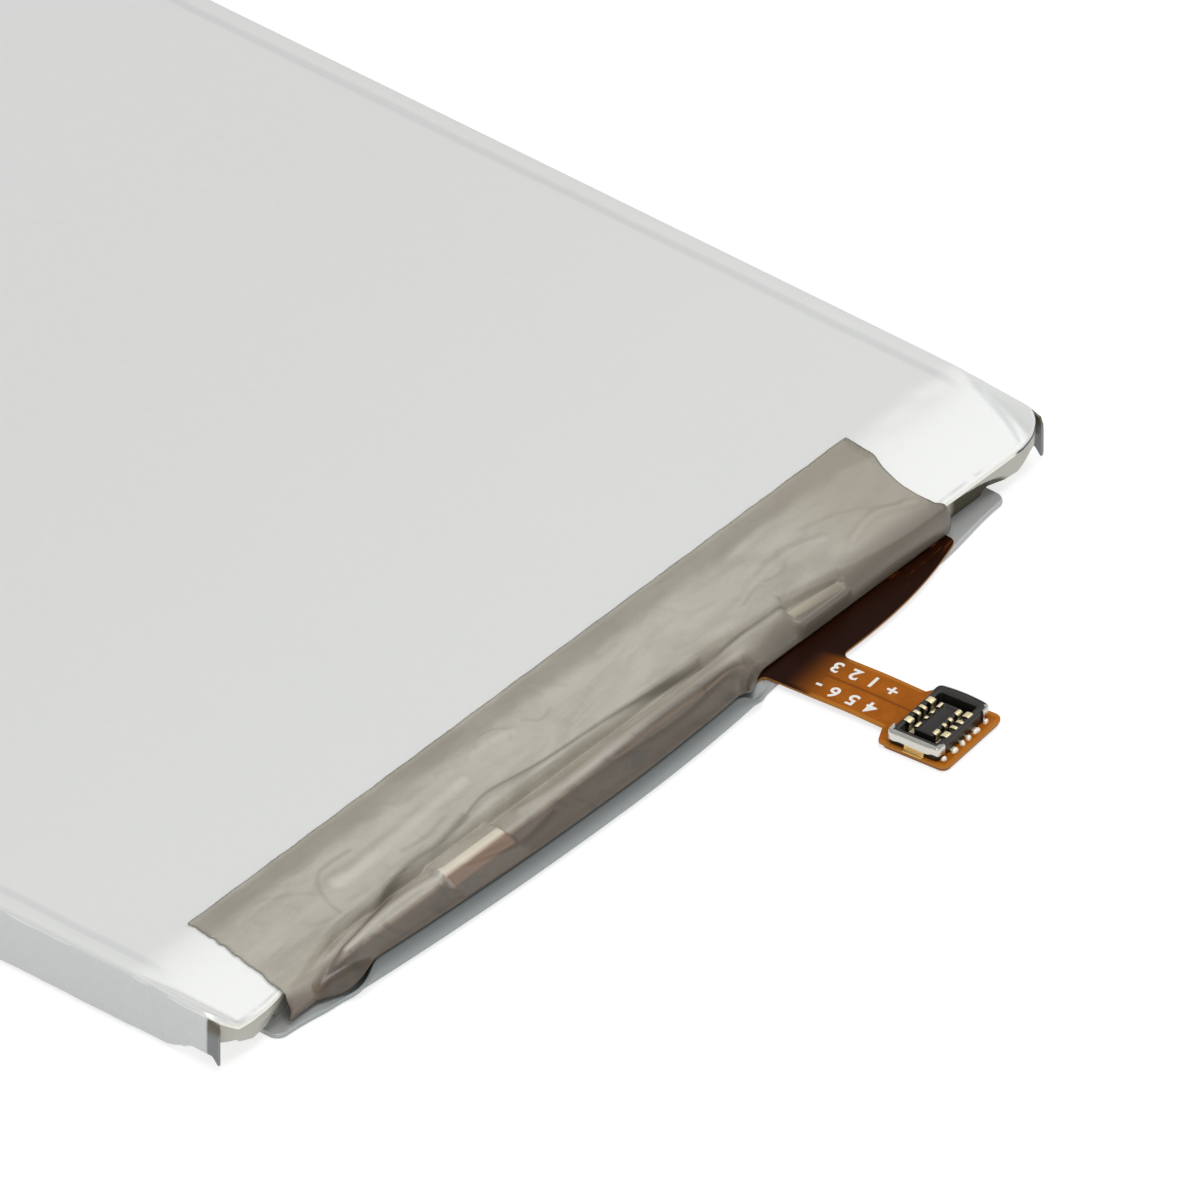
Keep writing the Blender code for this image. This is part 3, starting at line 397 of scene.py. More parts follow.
def outline_side(side, shares):
    """Points and outward normals along one side of the plan outline, from one corner's middle to the next's."""
    length, depth = (CELL_WIDTH, CELL_LENGTH) if side % 2 == 0 else (CELL_LENGTH, CELL_WIDTH)
    straight = length - 2 * CORNER_RADIUS
    arc = math.pi * CORNER_RADIUS / 4
    along = shares * (straight + 2 * arc)
    turn = (np.clip(along / arc, 0, 1) - 1 + np.clip((along - arc - straight) / arc, 0, 1)) * math.pi / 4
    angle = turn - math.pi / 2
    centre_x = np.clip(along - arc, 0, straight) - straight / 2
    centre_y = CORNER_RADIUS - depth / 2
    local = np.stack([centre_x + CORNER_RADIUS * np.cos(angle), centre_y + CORNER_RADIUS * np.sin(angle)], 1)
    normal = np.stack([np.cos(angle), np.sin(angle)], 1)
    cosine, sine = round(math.cos(side * math.pi / 2)), round(math.sin(side * math.pi / 2))
    spin = np.array([[cosine, sine], [-sine, cosine]])
    return local @ spin, normal @ spin


def around(xs, ys):
    """Index pairs of a grid's edge points in order, and each one's side and share of that side."""
    last_x, last_y = len(xs) - 1, len(ys) - 1
    order = [(i, 0, 0, (xs[i] - xs[0]) / (xs[-1] - xs[0])) for i in range(last_x)]
    order += [(last_x, j, 1, (ys[j] - ys[0]) / (ys[-1] - ys[0])) for j in range(last_y)]
    order += [(i, last_y, 2, (xs[-1] - xs[i]) / (xs[-1] - xs[0])) for i in range(last_x, 0, -1)]
    order += [(0, j, 3, (ys[-1] - ys[j]) / (ys[-1] - ys[0])) for j in range(last_y, 0, -1)]
    return order


def laminate_relief(x, y, sizes):
    """Small rises and falls of the foil's top face, in millimetres: side creases, corner folds and dents."""
    from_side = RIGHT - np.abs(x)
    wander = 0.10 * np.sin(y * 0.21 + 1.0) + 0.05 * np.sin(y * 0.83)
    fade = ease((y - END - 5.0) / 4.0)
    uneven = 0.75 + 0.25 * np.sin(y * 0.37)
    crease = 1.0 - ease(np.abs(from_side - SIDE_CREASE_INSET - wander) / 0.4)
    height = -sizes.crease_depth / MM * crease * fade * uneven
    height += SIDE_BEAD * (1.0 - ease(np.abs(from_side - 0.35) / 0.75)) * mix(0.4, 1.0, fade)
    height += 0.04 * stroke(x, y, CORNER_FOLD, 0.3)
    for path, depth, half in POUCH_DENTS:
        height -= depth * stroke(x, y, path, half)
    return height


def hem_edge(level):
    """Where the end wall's plain band gives way to the undercut beside the tape, at each height."""
    return 31.4 - 0.8 * level - 0.072 * level**6


def wall_tuck(x, level):
    """How far the end wall stands back beneath its brink."""
    return 0.05 + 0.28 * ease((hem_edge(level) - np.abs(x)) / 0.7)


def pouch_rim(xs, ys):
    """The grid's edge points in order, and each one's place and outward normal on the plan outline."""
    order = around(xs, ys)
    rim, normal = np.zeros((2, len(order), 2))
    for side in range(4):
        picked = [index for index, entry in enumerate(order) if entry[2] == side]
        rim[picked], normal[picked] = outline_side(side, np.array([order[index][3] for index in picked]))
    return [i * len(ys) + j for i, j, _, _ in order], rim, normal


def pouch_grid(sizes):
    """Points and faces of the pouch, and what its finish reads at each point."""
    xs = graded(-31.0, (-29.9, 8), (18.0, 48), (29.9, 34), (31.0, 12))
    ys = graded(-39.0, (-37.9, 12), (-33.0, 14), (37.9, 50), (39.0, 4))
    margin = CELL_LENGTH / 2 - ys[-1]
    grid = np.array([(x, y) for x in xs for y in ys])
    ring, rim, normal = pouch_rim(xs, ys)
    count = len(ring)
    end_face = ease((-normal[:, 1] - 0.55) / 0.4)
    rim[:, 1] -= wall_reach(rim[:, 0]) * end_face
    across = np.abs(rim[:, 0])
    corner = ease((across - CORNER_START) / 0.8) * ease((END + 2.6 - rim[:, 1]) / 1.6)
    shoulder = mix(SHOULDER, END_SHOULDER, end_face)
    foot_height = mix(mix(FOOT_HEIGHT, END_FOOT_HEIGHT, end_face), np.interp(across, *CORNER_FOOT), corner)
    foot_inset = mix(FOOT_INSET, END_FOOT_INSET, end_face)
    bevel = np.minimum(CORNER_BEVEL * foot_height, CORNER_BEVEL_LIMIT)

    def height(points):
        x, y = points[:, 0], points[:, 1]
        return top_height(x, END - y) + laminate_relief(x, y, sizes)

    def inward(distance):
        return rim + (grid[ring] - rim) * (distance / margin)[:, None]

    rows, beyond = [], []

    def add_row(plan, level, past_brink):
        rows.append(np.column_stack([plan, level]))
        beyond.append(past_brink)

    for share in TOP_ROWS:
        inset = shoulder + share * (margin - shoulder)
        add_row(inward(inset), height(inward(inset)), -inset)
    brink = height(inward(np.full(count, 0.3)))
    for turn in SHOULDER_TURNS:
        plan = inward(shoulder * (1.0 - math.cos(turn)))
        edge = height(plan) if turn > 1.5 else np.minimum(brink, height(plan))
        add_row(plan, edge - shoulder * (1.0 - math.sin(turn)), -shoulder * math.sin(turn))
    top_of_wall = rows[-1][:, 2]
    for share in WALL_ROWS:
        level = mix(top_of_wall, foot_height, share)
        tuck = wall_tuck(rim[:, 0], level) * end_face * ease(share / 0.12)
        add_row(inward(tuck), level, top_of_wall - level)
    for turn in FOOT_TURNS:
        level = foot_height * (1.0 - math.sin(turn))
        inset = mix(foot_inset * (1.0 - math.cos(turn)), bevel * math.sin(turn), corner)
        add_row(inward(inset + wall_tuck(rim[:, 0], level) * end_face), level, top_of_wall - level)

    points = np.concatenate([np.column_stack([grid, height(grid)]), *rows])
    paints = {"beyond": np.concatenate([np.full(len(grid), -margin), *beyond])}
    # fold: where the finish paints blue-grey shade along the corner fold
    paints["fold"] = stroke(points[:, 0], points[:, 1], CORNER_FOLD, 0.22) * (points[:, 2] > 2.0)
    faces = [(a, d, c, b) for a, b, c, d in quads(len(xs), len(ys))]
    first = len(grid)
    for index in range(count):
        after = (index + 1) % count
        faces.append((ring[index], first + index, first + after, ring[after]))
    faces += [face[::-1] for face in quads(len(rows), count, closed=True, start=first)]
    last = first + (len(rows) - 1) * count
    faces.append(tuple(range(last, last + count)))
    return points * MM, faces, paints


# The flange's outer edge and lip, in millimetres
LIP_LEFT = 8.2 - RIGHT
LIP_RIGHT = RIGHT - 24.8
LIP_HEIGHT = 1.62
LIP_THICKNESS = 0.22
LIP_REACH = 2.24
LIP_CREST = RIGHT - 37.0
LIP_RIGHT_BOW = 0.62
LIP_LEFT_BOW = 1.02
LIP_EASE = 3.2
FLANGE = 0.3
FLANGE_ROOT = 1.3
FLANGE_REACH, FLANGE_END_REACH = 1.4, 0.62
FLANGE_END = RIGHT - 3.85
FLANGE_CORNER = 0.6


def lip_reach(x):
    """How far the lip stands out from the end wall's line, most at its crest."""
    end, bow = (LIP_RIGHT, LIP_RIGHT_BOW) if x > LIP_CREST else (LIP_LEFT, LIP_LEFT_BOW)
    return LIP_REACH - bow * ((x - LIP_CREST) / (end - LIP_CREST)) ** 2


def lip_line(x):
    """Middle of the lip's section at x, as (reach, height)."""
    from_end = min(LIP_RIGHT - x, x - LIP_LEFT)
    raised = mix(0.15, 1.0, ease(from_end / LIP_EASE))
    turns = [(0.13, angle) for angle in (12, 37, 62, 84)]
    curls = [(0.17, angle) for angle in (100, 120, 140)]
    out = sum(length * math.cos(math.radians(angle)) for length, angle in turns)
    rise = sum(length * math.sin(math.radians(angle)) for length, angle in turns + curls)
    straight = LIP_HEIGHT - LIP_THICKNESS / 2 - FLANGE / 2 - rise
    start = lip_reach(min(max(x, LIP_LEFT), LIP_RIGHT)) - LIP_THICKNESS / 2 - out
    points = [(start - 0.6, FLANGE / 2), (start, FLANGE / 2)]
    for length, angle in [*turns, (straight / 2, 90), (straight / 2, 90), *curls]:
        heading = math.radians(angle) * raised
        reach, height = points[-1]
        stride = length * raised
        points.append((reach + stride * math.cos(heading), height + stride * math.sin(heading)))
    return points


def flange_section(x):
    """Closed section of the flange at x, with its lip where the board lies."""
    count, flat_count = 34, 8
    flat = ease(max(LIP_LEFT - x, x - LIP_RIGHT, 0.0) / 1.6)
    past = max(FLANGE_CORNER - (FLANGE_END - abs(x)), 0.0)
    corner = FLANGE_CORNER - math.sqrt(max(FLANGE_CORNER**2 - past**2, 0.0))
    outer = mix(FLANGE_REACH, FLANGE_END_REACH, ease((abs(x) - 23.0) / 7.0)) - corner
    root = float(wall_reach(np.array(x))) - FLANGE_ROOT
    middle = FLANGE / 2
    lip = smooth_path(lip_line(x), count - flat_count)
    inner = np.linspace((root, middle), (lip[0, 0], middle), flat_count + 1)[:-1]
    level = np.linspace((root, middle), (outer, middle), count)
    line = mix(np.concatenate([inner, lip]), level, flat)
    lifted = ease((np.arange(count) - 6) / 4.0) * (1.0 - flat)
    thick = mix(np.full(count, middle), LIP_THICKNESS / 2, lifted)
    thick[-2:] *= (0.85, 0.45)
    along = headings(line)
    across = np.column_stack([along[:, 1], -along[:, 0]]) * thick[:, None]
    ring = np.concatenate([line + across, (line - across)[::-1]])
    return np.column_stack([np.full(len(ring), x), END - ring[:, 0], ring[:, 1]]) * MM


def flange_stations():
    start = FLANGE_END - FLANGE_CORNER
    ends = start + FLANGE_CORNER * np.sin(np.radians((10, 20, 30, 40, 50, 60, 70, 80, 89)))
    return [*-ends[::-1], *np.linspace(-start, start, 180), *ends]


def seam_section(y, side):
    """Closed section of a side seam at y: a folded strip that leans on the long side and waves a little."""
    steps = 14
    from_front = y - END - SEAM_SETBACK
    low = 0.40 + 0.45 * ease(from_front / 0.5) - 0.65 * ease((from_front - 1.6) / 2.0)
    high = 2.62 + 0.3 * ease(from_front / 0.12) + 0.24 * ease(from_front) + 0.3 * ease((from_front - 1.0) / 4.0)
    past = max(1.0 - (SEAM_BACK - y), 0.0)
    high -= 1.0 - math.sqrt(max(1.0 - past**2, 0.0))
    low = min(low, high - 0.1)
    heights = np.linspace(low, high, steps)
    wave = 0.02 * math.sin(y * 0.7) + 0.012 * math.sin(y * 2.3 + 1.0)
    free = 1.0 - ease(from_front / 1.6)
    lean = wave * (1.0 - free) + 0.05 * free * np.sin(heights * 1.4)
    shape = RIGHT + 0.03 + np.clip(lean, -0.02, 0.02)
    outer = np.column_stack([shape + 0.17, heights])
    inner = np.column_stack([shape - 0.03, heights])
    outer[0, 0] -= 0.05
    outer[-1, 0] -= 0.06
    ring = np.concatenate([outer, inner[::-1]])
    return np.column_stack([side * ring[:, 0], np.full(len(ring), y), ring[:, 1]]) * MM


def seam_stations():
    near = END + SEAM_SETBACK
    runs = ((near + 0.2, 6), (near + 1.0, 10), (near + 3.0, 12), (SEAM_BACK - 1.0, 150), (SEAM_BACK, 8))
    return graded(near, *runs)


# The tape's form, in millimetres
TAPE_COVER = 6.5
TAPE_THICKNESS = 0.08
TAPE_GAP = 0.06
FLEX_TOP = FLANGE + 0.16
FUSE_X = (FUSE_LOW.x + FUSE_HIGH.x) / 2 / MM + 0.2
FUSE_LENGTH = (FUSE_HIGH.x - FUSE_LOW.x) / MM + 1.5
GAUGE_X = (GAUGE_LOW.x + GAUGE_HIGH.x) / 2 / MM
GAUGE_LENGTH = (GAUGE_HIGH.x - GAUGE_LOW.x) / MM + 0.8
GAUGE_TOP = GAUGE_HIGH.z / MM
GAUGE_OUTER = END - GAUGE_LOW.y / MM
BUMP_RISE = 0.28

# Marks that the hands and the parts beneath have left in the tape: path, height, half width
TAPE_CREASES = (
    (
        ((-26.8, -42.2), (-21.8, -41.3), (-17.1, -40.4), (-14.5, -40.45), (-11.9, -40.1), (-9.6, -39.75)),
        -0.14, 0.3,
    ),
    (((-9.6, -39.75), (-5.8, -40.2), (-1.0, -40.45), (6.7, -40.8)), -0.10, 0.24),
    (((6.7, -40.8), (11.0, -41.0), (13.4, -41.1)), -0.06, 0.3),
    (((-24.0, -41.9), (-19.0, -41.5), (-16.0, -41.8)), 0.12, 0.4),
    (((-9.0, -41.5), (-5.9, -41.75), (0.4, -41.8), (5.3, -41.8), (10.5, -41.5), (12.6, -41.3)), 0.10, 0.6),
    (((-21.0, -38.9), (-19.1, -39.0), (-14.5, -38.7), (-10.1, -38.5)), 0.09, 0.85),
    (((-15.6, -37.2), (-13.0, -37.6), (-10.5, -37.4)), 0.05, 0.7),
    (((-25.0, -36.8), (-22.5, -38.3), (-21.0, -39.9)), -0.05, 0.4),
    (((-8.0, -37.5), (-6.6, -37.6), (-5.4, -37.9)), 0.08, 0.75),
    (((-8.6, -38.5), (-6.3, -38.8), (-4.4, -39.0)), -0.04, 0.4),
    (((-2.0, -37.0), (2.0, -37.6), (6.0, -37.2)), 0.05, 0.9),
    (((3.5, -38.9), (7.0, -38.5), (10.0, -39.2)), 0.05, 0.6),
    (((9.0, -37.0), (13.0, -37.4), (17.0, -36.9)), -0.04, 0.7),
    (((12.5, -39.4), (15.8, -39.0), (18.5, -39.6)), 0.07, 0.55),
    (((18.0, -38.2), (21.0, -38.9), (23.6, -40.4)), -0.06, 0.4),
    (((19.5, -40.6), (22.0, -40.2), (24.6, -41.0)), 0.08, 0.45),
    (((21.0, -37.4), (23.0, -37.0), (25.0, -37.5)), 0.04, 0.6),
    (((-14.4, -42.2), (-11.0, -42.9), (-8.0, -42.6)), -0.08, 0.4),
    (((-2.0, -42.4), (3.0, -42.6), (8.0, -42.0)), -0.06, 0.35),
)

# Fine lines of painted shade along folds in the tape: path, strength, half width
TAPE_LINES = (
    (((-26.4, -42.4), (-21.8, -41.3), (-17.1, -40.5), (-14.5, -40.5), (-11.9, -40.1)), 1.0, 0.36),
    (((-11.9, -40.1), (-9.6, -39.75), (-5.8, -40.2), (-1.0, -40.45), (6.7, -40.85), (13.4, -41.1)), 1.0, 0.16),
    (((-7.9, -37.5), (-7.2, -36.95), (-6.0, -37.1), (-5.4, -37.7), (-5.9, -38.2)), 0.3, 0.13),
    (((-4.2, -37.7), (-3.4, -38.3), (-2.4, -38.1)), 0.3, 0.16),
    (((-18.6, -37.8), (-21.1, -37.8), (-22.2, -38.9), (-22.5, -40.3)), 0.4, 0.22),
    (((-16.5, -39.6), (-14.6, -39.75), (-12.9, -39.5)), 0.35, 0.25),
    (((11.4, -39.9), (13.0, -39.5), (14.8, -39.7), (15.6, -39.3)), 0.3, 0.14),
)


def bump_at(x, centre, length):
    """1 over a tall part and 0 away from it."""
    return 1.0 - ease((np.abs(x - centre) - length / 2) / 0.3)


def tape_over_board(x, wall):
    """The tape's section from the end wall's edge over the board's parts to the lip."""
    bump = BUMP_RISE * float(bump_at(x, FUSE_X, FUSE_LENGTH))
    on_lip = min(max(x, LIP_LEFT), LIP_RIGHT)
    lip_top = max(height for _, height in lip_line(on_lip)) + LIP_THICKNESS / 2
    return [
        (wall + 0.3, 1.96 + bump),
        (wall + 0.7, 2.01 + bump),
        (-0.1, 2.01 + bump),
        (0.25, 1.93 + bump),
        (mix(0.25, lip_reach(on_lip), 0.6), 1.78 + 0.3 * bump),
        (lip_reach(on_lip) - 0.12, lip_top + 0.015),
    ]


def tape_down_wall(x, wall, rim):
    """The tape's section where it runs from the end wall's edge down to the flexible circuit."""
    foot = np.array((0.28, FLEX_TOP + TAPE_GAP + 0.06))
    edge = np.array((wall + TAPE_GAP, rim))
    level = []
    for share in (0.17, 0.33, 0.5, 0.67, 0.83, 1.0):
        swing = math.sin(math.pi * share)
        level.append(mix(edge, foot, share) + (0.22 * swing**0.7, 0.10 * swing))
    top = GAUGE_TOP + 2 * TAPE_GAP
    raised = [
        (wall + 0.22, top + 0.10),
        (mix(wall, GAUGE_OUTER, 0.45), top + 0.04),
        (GAUGE_OUTER - 0.1, top + 0.02),
        (GAUGE_OUTER + TAPE_GAP, top - 0.04),
        (GAUGE_OUTER + 2 * TAPE_GAP, mix(foot[1], top, 0.6)),
        foot,
    ]
    return mix(np.array(level), np.array(raised), float(bump_at(x, GAUGE_X, GAUGE_LENGTH)))


def tape_section(x, count):
    """Underside of the tape at x, as (reach, height) from its inner edge to its outer edge."""
    wall = float(wall_reach(np.array(x)))
    rim = float(top_height(x, wall)) + TAPE_GAP
    step = max(float(ease((x - LIP_RIGHT + 2.5) / 3.6)), float(ease((BOARD_LEFT - 2.0 - x) / 3.4)))
    slope = [mix(-TAPE_COVER, wall, share) for share in (0.0, 0.33, 0.6, 0.85)]
    points = [(reach, float(top_height(x, reach)) + TAPE_GAP) for reach in slope]
    points.append((wall + TAPE_GAP, rim))
    points.extend(mix(np.array(tape_over_board(x, wall)), tape_down_wall(x, wall, rim), step))
    reach, height = points[-1]
    if LIP_LEFT < x < LIP_RIGHT and reach < lip_reach(x):
        top = max(height for _, height in lip_line(x)) + LIP_THICKNESS / 2 + 2 * TAPE_GAP
        points[-1] = (reach, max(height, top))
    return smooth_path(points, count)


def evenly(line, count):
    """A line read at even distances along it."""
    travelled = np.concatenate([[0.0], np.cumsum(np.linalg.norm(np.diff(line, axis=0), axis=1))])
    even = np.linspace(0.0, travelled[-1], count)
    return np.column_stack([np.interp(even, travelled, line[:, axis]) for axis in (0, 1)])


def tape_relief(x, y, reach, wrinkle):
    """How far the tape stands off its plain form: fine wrinkles, broad bubbles, and the listed creases."""
    flat = np.column_stack([x.ravel(), y.ravel(), np.zeros(x.size)])

    def waves(stretch, scale, seed, octaves):
        return rough(flat * (*stretch, 1.0), scale, seed, octaves).reshape(x.shape)

    fine = waves((0.55, 1.0), 0.9, 4.0, 3)
    broad = waves((0.35, 1.0), 0.33, 9.0, 2)
    ridged = np.maximum(1.0 - np.abs(waves((0.4, 0.9), 0.6, 17.0, 2)) * 2.2, 0.0)
    relief = 0.008 * fine + 0.05 * np.maximum(broad, -0.2) + 0.004 * ridged**3
    for path, rise, half in TAPE_CREASES:
        relief += rise * stroke(x, y, path, half)
    relief *= ease((reach + TAPE_COVER - 0.9) / 1.4) * wrinkle
    deepest = np.where(reach < wall_reach(x), 0.0, -0.16) - 0.05 * wrinkle
    return np.maximum(relief, deepest)


def tape_sheet(sizes):
    """The tape's underside as a fine sheet with frayed cut ends, and what its finish reads at each point."""
    stations, count = 300, 96
    xs = np.linspace(TAPE_LEFT, TAPE_RIGHT, stations)
    table = np.array([evenly(tape_section(x, 240), count) for x in xs])
    reach, height = table[..., 0], table[..., 1]
    x = np.repeat(xs[:, None], count, axis=1)
    y = END - reach
    relief = tape_relief(x, y, reach, sizes.tape_wrinkle)
    # Where painted shade lies along the tape's folds
    line = np.max([depth * stroke(x, y, path, half) for path, depth, half in TAPE_LINES], axis=0)
    paints = {"reach": reach.ravel(), "relief": relief.ravel(), "line": line.ravel()}

    along = headings(table)
    flip = np.where(along[..., 0] < -0.2, -1.0, 1.0)
    wobble = 0.03 * np.sin(xs * 1.9) + 0.06 * rough(np.outer(xs, (1, 0, 0)), 1.6, 2.0, 3)
    pull = (1.0 - ease((reach + TAPE_COVER) / 1.2)) * wobble[:, None]
    y = y + along[..., 1] * flip * relief + pull * 0.5
    ends = rough(np.column_stack([reach[0] * 0.8, height[0], reach[0] * 0]), 2.4, 31.0, 3)
    height = height + along[..., 0] * flip * relief
    bow = 0.55 * np.sin(np.clip((reach + 4.6) / 4.4, 0.0, 1.0) * math.pi) - 0.25 * ease((reach + 0.4) / 0.4)
    near_right, near_left = 1.0 - ease(TAPE_RIGHT - x), 1.0 - ease(x - TAPE_LEFT)
    x = x + near_right * (0.03 * ends - bow - 0.05) + near_left * 0.12 * ends[::-1]
    points = np.stack([x, y, height], axis=2).reshape(-1, 3)
    return points * MM, quads(stations, count), paints


# The tail's form, in millimetres
ROOT_END_REACH = 0.95
ROOT_TAPER = 1.67
ROOT_TAPER_POWER = 2.4
ROOT_LEFT_REACH = 0.6
BEND_START = 2.9
PAD_START = 8.5
PAD_LENGTH = 4.3
PAD_SHOULDER = 0.5
PAD_WIDTH = 5.5
PAD_OFFSET = -0.35
NECK_WIDTH = 3.8
NECK_RISE = 0.05
SIGNS_ALONG = 5.0
PRINT_HALF_HEIGHT = 0.006
FLEX_THICKNESS = 0.13
FLEX_BOTTOM = FLANGE + 0.03
STIFFENER_TOP = 0.21
PAD_BOTTOM = 0.24
PAD_TOP = PAD_BOTTOM + FLEX_THICKNESS
HOUSING_BOTTOM = PAD_TOP + 0.03
HOUSING_OFFSET = -0.5
HOUSING_ALONG = PAD_START + 2.08
HOUSING_FRAME = TAIL_FRAME @ Matrix.Translation(Vector((HOUSING_OFFSET, -HOUSING_ALONG, HOUSING_BOTTOM)) * MM)


def tail_height(along):
    """How far the tail lies above its root, along its length."""
    share = np.clip((along - BEND_START) / (PAD_START - BEND_START), 0.0, 1.0)
    return (PAD_BOTTOM - FLEX_BOTTOM) * share + NECK_RISE * np.sin(math.pi * share) ** 2


def rounded_outline(corners, steps=6):
    """Closed outline from corners (x, y, radius), each radius turned into an arc."""
    points = []
    for index, (x, y, radius) in enumerate(corners):
        corner = Vector((x, y))
        if radius == 0.0:
            points.append(corner)
            continue
        before = (Vector(corners[index - 1][:2]) - corner).normalized()
        after = (Vector(corners[(index + 1) % len(corners)][:2]) - corner).normalized()
        half = before.angle(after) / 2
        centre = corner + (before + after).normalized() * (radius / math.sin(half))
        start = corner + before * (radius / math.tan(half)) - centre
        end = corner + after * (radius / math.tan(half)) - centre
        sweep = math.atan2(start.x * end.y - start.y * end.x, start.dot(end))
        for step in range(steps + 1):
            points.append(centre + Matrix.Rotation(sweep * step / steps, 2) @ start)
    return points


def flex_outline():
    """Plan of the flexible circuit in the tail's frame: across, and minus along."""
    def from_plan(x, y, radius=0.0):
        place = TAIL_FRAME.inverted() @ (Vector((x, y, 0.0)) * MM)
        return place.x / MM, place.y / MM, radius

    def plan_x(across, along):
        return (TAIL_FRAME @ (Vector((across, -along, 0.0)) * MM)).x / MM

    neck = NECK_WIDTH / 2
    pad_left, pad_right = PAD_OFFSET - PAD_WIDTH / 2, PAD_OFFSET + PAD_WIDTH / 2
    pad_end = PAD_START + PAD_LENGTH
    root_reach = ROOT_END_REACH + ROOT_TAPER
    right, left = plan_x(neck, root_reach), plan_x(-neck, ROOT_LEFT_REACH)
    corners = [from_plan(x, END - float(wall_reach(x)) - 0.12) for x in np.linspace(FLEX_LEFT, TAPE_RIGHT, 40)]
    corners.append(from_plan(TAPE_RIGHT, END - ROOT_END_REACH, 0.5))
    for share in np.linspace(1.0, 0.0, 19)[1:-1]:
        y = END - root_reach + ROOT_TAPER * share**ROOT_TAPER_POWER
        corners.append(from_plan(mix(right, TAPE_RIGHT, share), y))
    corners += [
        from_plan(right, END - root_reach, 0.5),
        (neck, 0.3 - PAD_START, 0.0),
        (pad_right, -PAD_START, 0.0),
        (pad_right, -pad_end, 0.5),
        (pad_left, -pad_end, 0.5),
        (pad_left, -PAD_START, 0.35),
        (-neck, PAD_SHOULDER - PAD_START, 0.0),
        from_plan(left, END - ROOT_LEFT_REACH, 0.3),
        from_plan(FLEX_LEFT, END - ROOT_LEFT_REACH),
    ]
    return rounded_outline(corners)


def evaluated_mesh(data):
    """A curve or text as a mesh; the curve itself is taken out again."""
    holder = bpy.data.objects.new(data.name, data)
    bpy.context.scene.collection.objects.link(holder)
    mesh = bpy.data.meshes.new_from_object(holder.evaluated_get(bpy.context.evaluated_depsgraph_get()))
    bpy.data.objects.remove(holder)
    bpy.data.curves.remove(data)
    return mesh


def filled(outline, low, high):
    """A bmesh of a flat outline given a thickness, in millimetres."""
    curve = bpy.data.curves.new("outline", "CURVE")
    curve.dimensions = "2D"
    curve.fill_mode = "BOTH"
    curve.extrude = (high - low) / 2
    spline = curve.splines.new("POLY")
    spline.points.add(len(outline) - 1)
    for point, (x, y) in zip(spline.points, outline):
        point.co = (x, y, 0.0, 1.0)
    spline.use_cyclic_u = True
    mesh = evaluated_mesh(curve)
    bm = bmesh.new()
    bm.from_mesh(mesh)
    bpy.data.meshes.remove(mesh)
    bmesh.ops.remove_doubles(bm, verts=bm.verts, dist=0.0001)
    bmesh.ops.translate(bm, verts=bm.verts, vec=(0.0, 0.0, (low + high) / 2))
    return bm


def finished_mesh(name, bm):
    """A mesh in metres from a bmesh in millimetres, with outward normals."""
    bmesh.ops.recalc_face_normals(bm, faces=bm.faces)
    bmesh.ops.scale(bm, verts=bm.verts, vec=(MM, MM, MM))
    mesh = bpy.data.meshes.new(name)
    bm.to_mesh(mesh)
    bm.free()
    return mesh


def flex_mesh():
    """The flexible circuit: a flat sheet cut into short lengths along the neck and bent."""
    bm = filled(flex_outline(), FLEX_BOTTOM, FLEX_BOTTOM + FLEX_THICKNESS)
    for along in np.linspace(BEND_START, PAD_START, 43):
        geometry = bm.verts[:] + bm.edges[:] + bm.faces[:]
        bmesh.ops.bisect_plane(bm, geom=geometry, plane_co=(0, -along, 0), plane_no=(0, -1, 0), dist=0.0001)
    for vert in bm.verts:
        vert.co.z += float(tail_height(-vert.co.y))
    return finished_mesh("flexible_circuit", bm)


def stiffener_mesh():
    left, right = PAD_OFFSET - PAD_WIDTH / 2 + 0.1, PAD_OFFSET + PAD_WIDTH / 2 - 0.1
    near, far = -PAD_START - 0.1, 0.1 - PAD_START - PAD_LENGTH
    corners = [(left, near, 0.4), (left, far, 0.4), (right, far, 0.4), (right, near, 0.4)]
    return finished_mesh("stiffener", filled(rounded_outline(corners), 0.03, STIFFENER_TOP))


def silk_mesh(sizes):
    """White numbers and signs printed along the neck, laid over its bend."""
    bm = bmesh.new()
    for words, across in (("+ 1 2 3", 0.95), ("4 5 6 -", -0.95)):
        text = bpy.data.curves.new("signs", "FONT")
        text.body = words
        text.size = sizes.sign_height / MM
        text.space_character = 1.15
        text.extrude = PRINT_HALF_HEIGHT
        text.offset = 0.03
        text.align_x = "CENTER"
        text.align_y = "CENTER"
        text.resolution_u = 3
        mesh = evaluated_mesh(text)
        turn = Matrix.Rotation(math.radians(90), 4, "Z")
        mesh.transform(Matrix.Translation((across, -SIGNS_ALONG, 0.0)) @ turn)
        bm.from_mesh(mesh)
        bpy.data.meshes.remove(mesh)
    bmesh.ops.remove_doubles(bm, verts=bm.verts, dist=0.0001)
    for vert in bm.verts:
        vert.co.z += FLEX_BOTTOM + FLEX_THICKNESS + PRINT_HALF_HEIGHT + float(tail_height(-vert.co.y))
    return finished_mesh("signs", bm)


# The receptacle's form, in millimetres: about its own centre, its length across the tail
HOUSING_HALF_LENGTH = 2.38
HOUSING_HALF_DEPTH = 1.55
HOUSING_HEIGHT = 0.8
CHANNEL_FLOOR = 0.14
FAR_END_SWELL = 0.15
ISLAND_HALF_LENGTH = 1.40
ISLAND_HALF_DEPTH = 0.60
CONTACT_THICKNESS = 0.07
CONTACT_TAIL_THICKNESS = 0.06
CONTACT_ROW = ((-1.02, 0.46), (-0.28, 0.24), (0.28, 0.24), (1.02, 0.46))


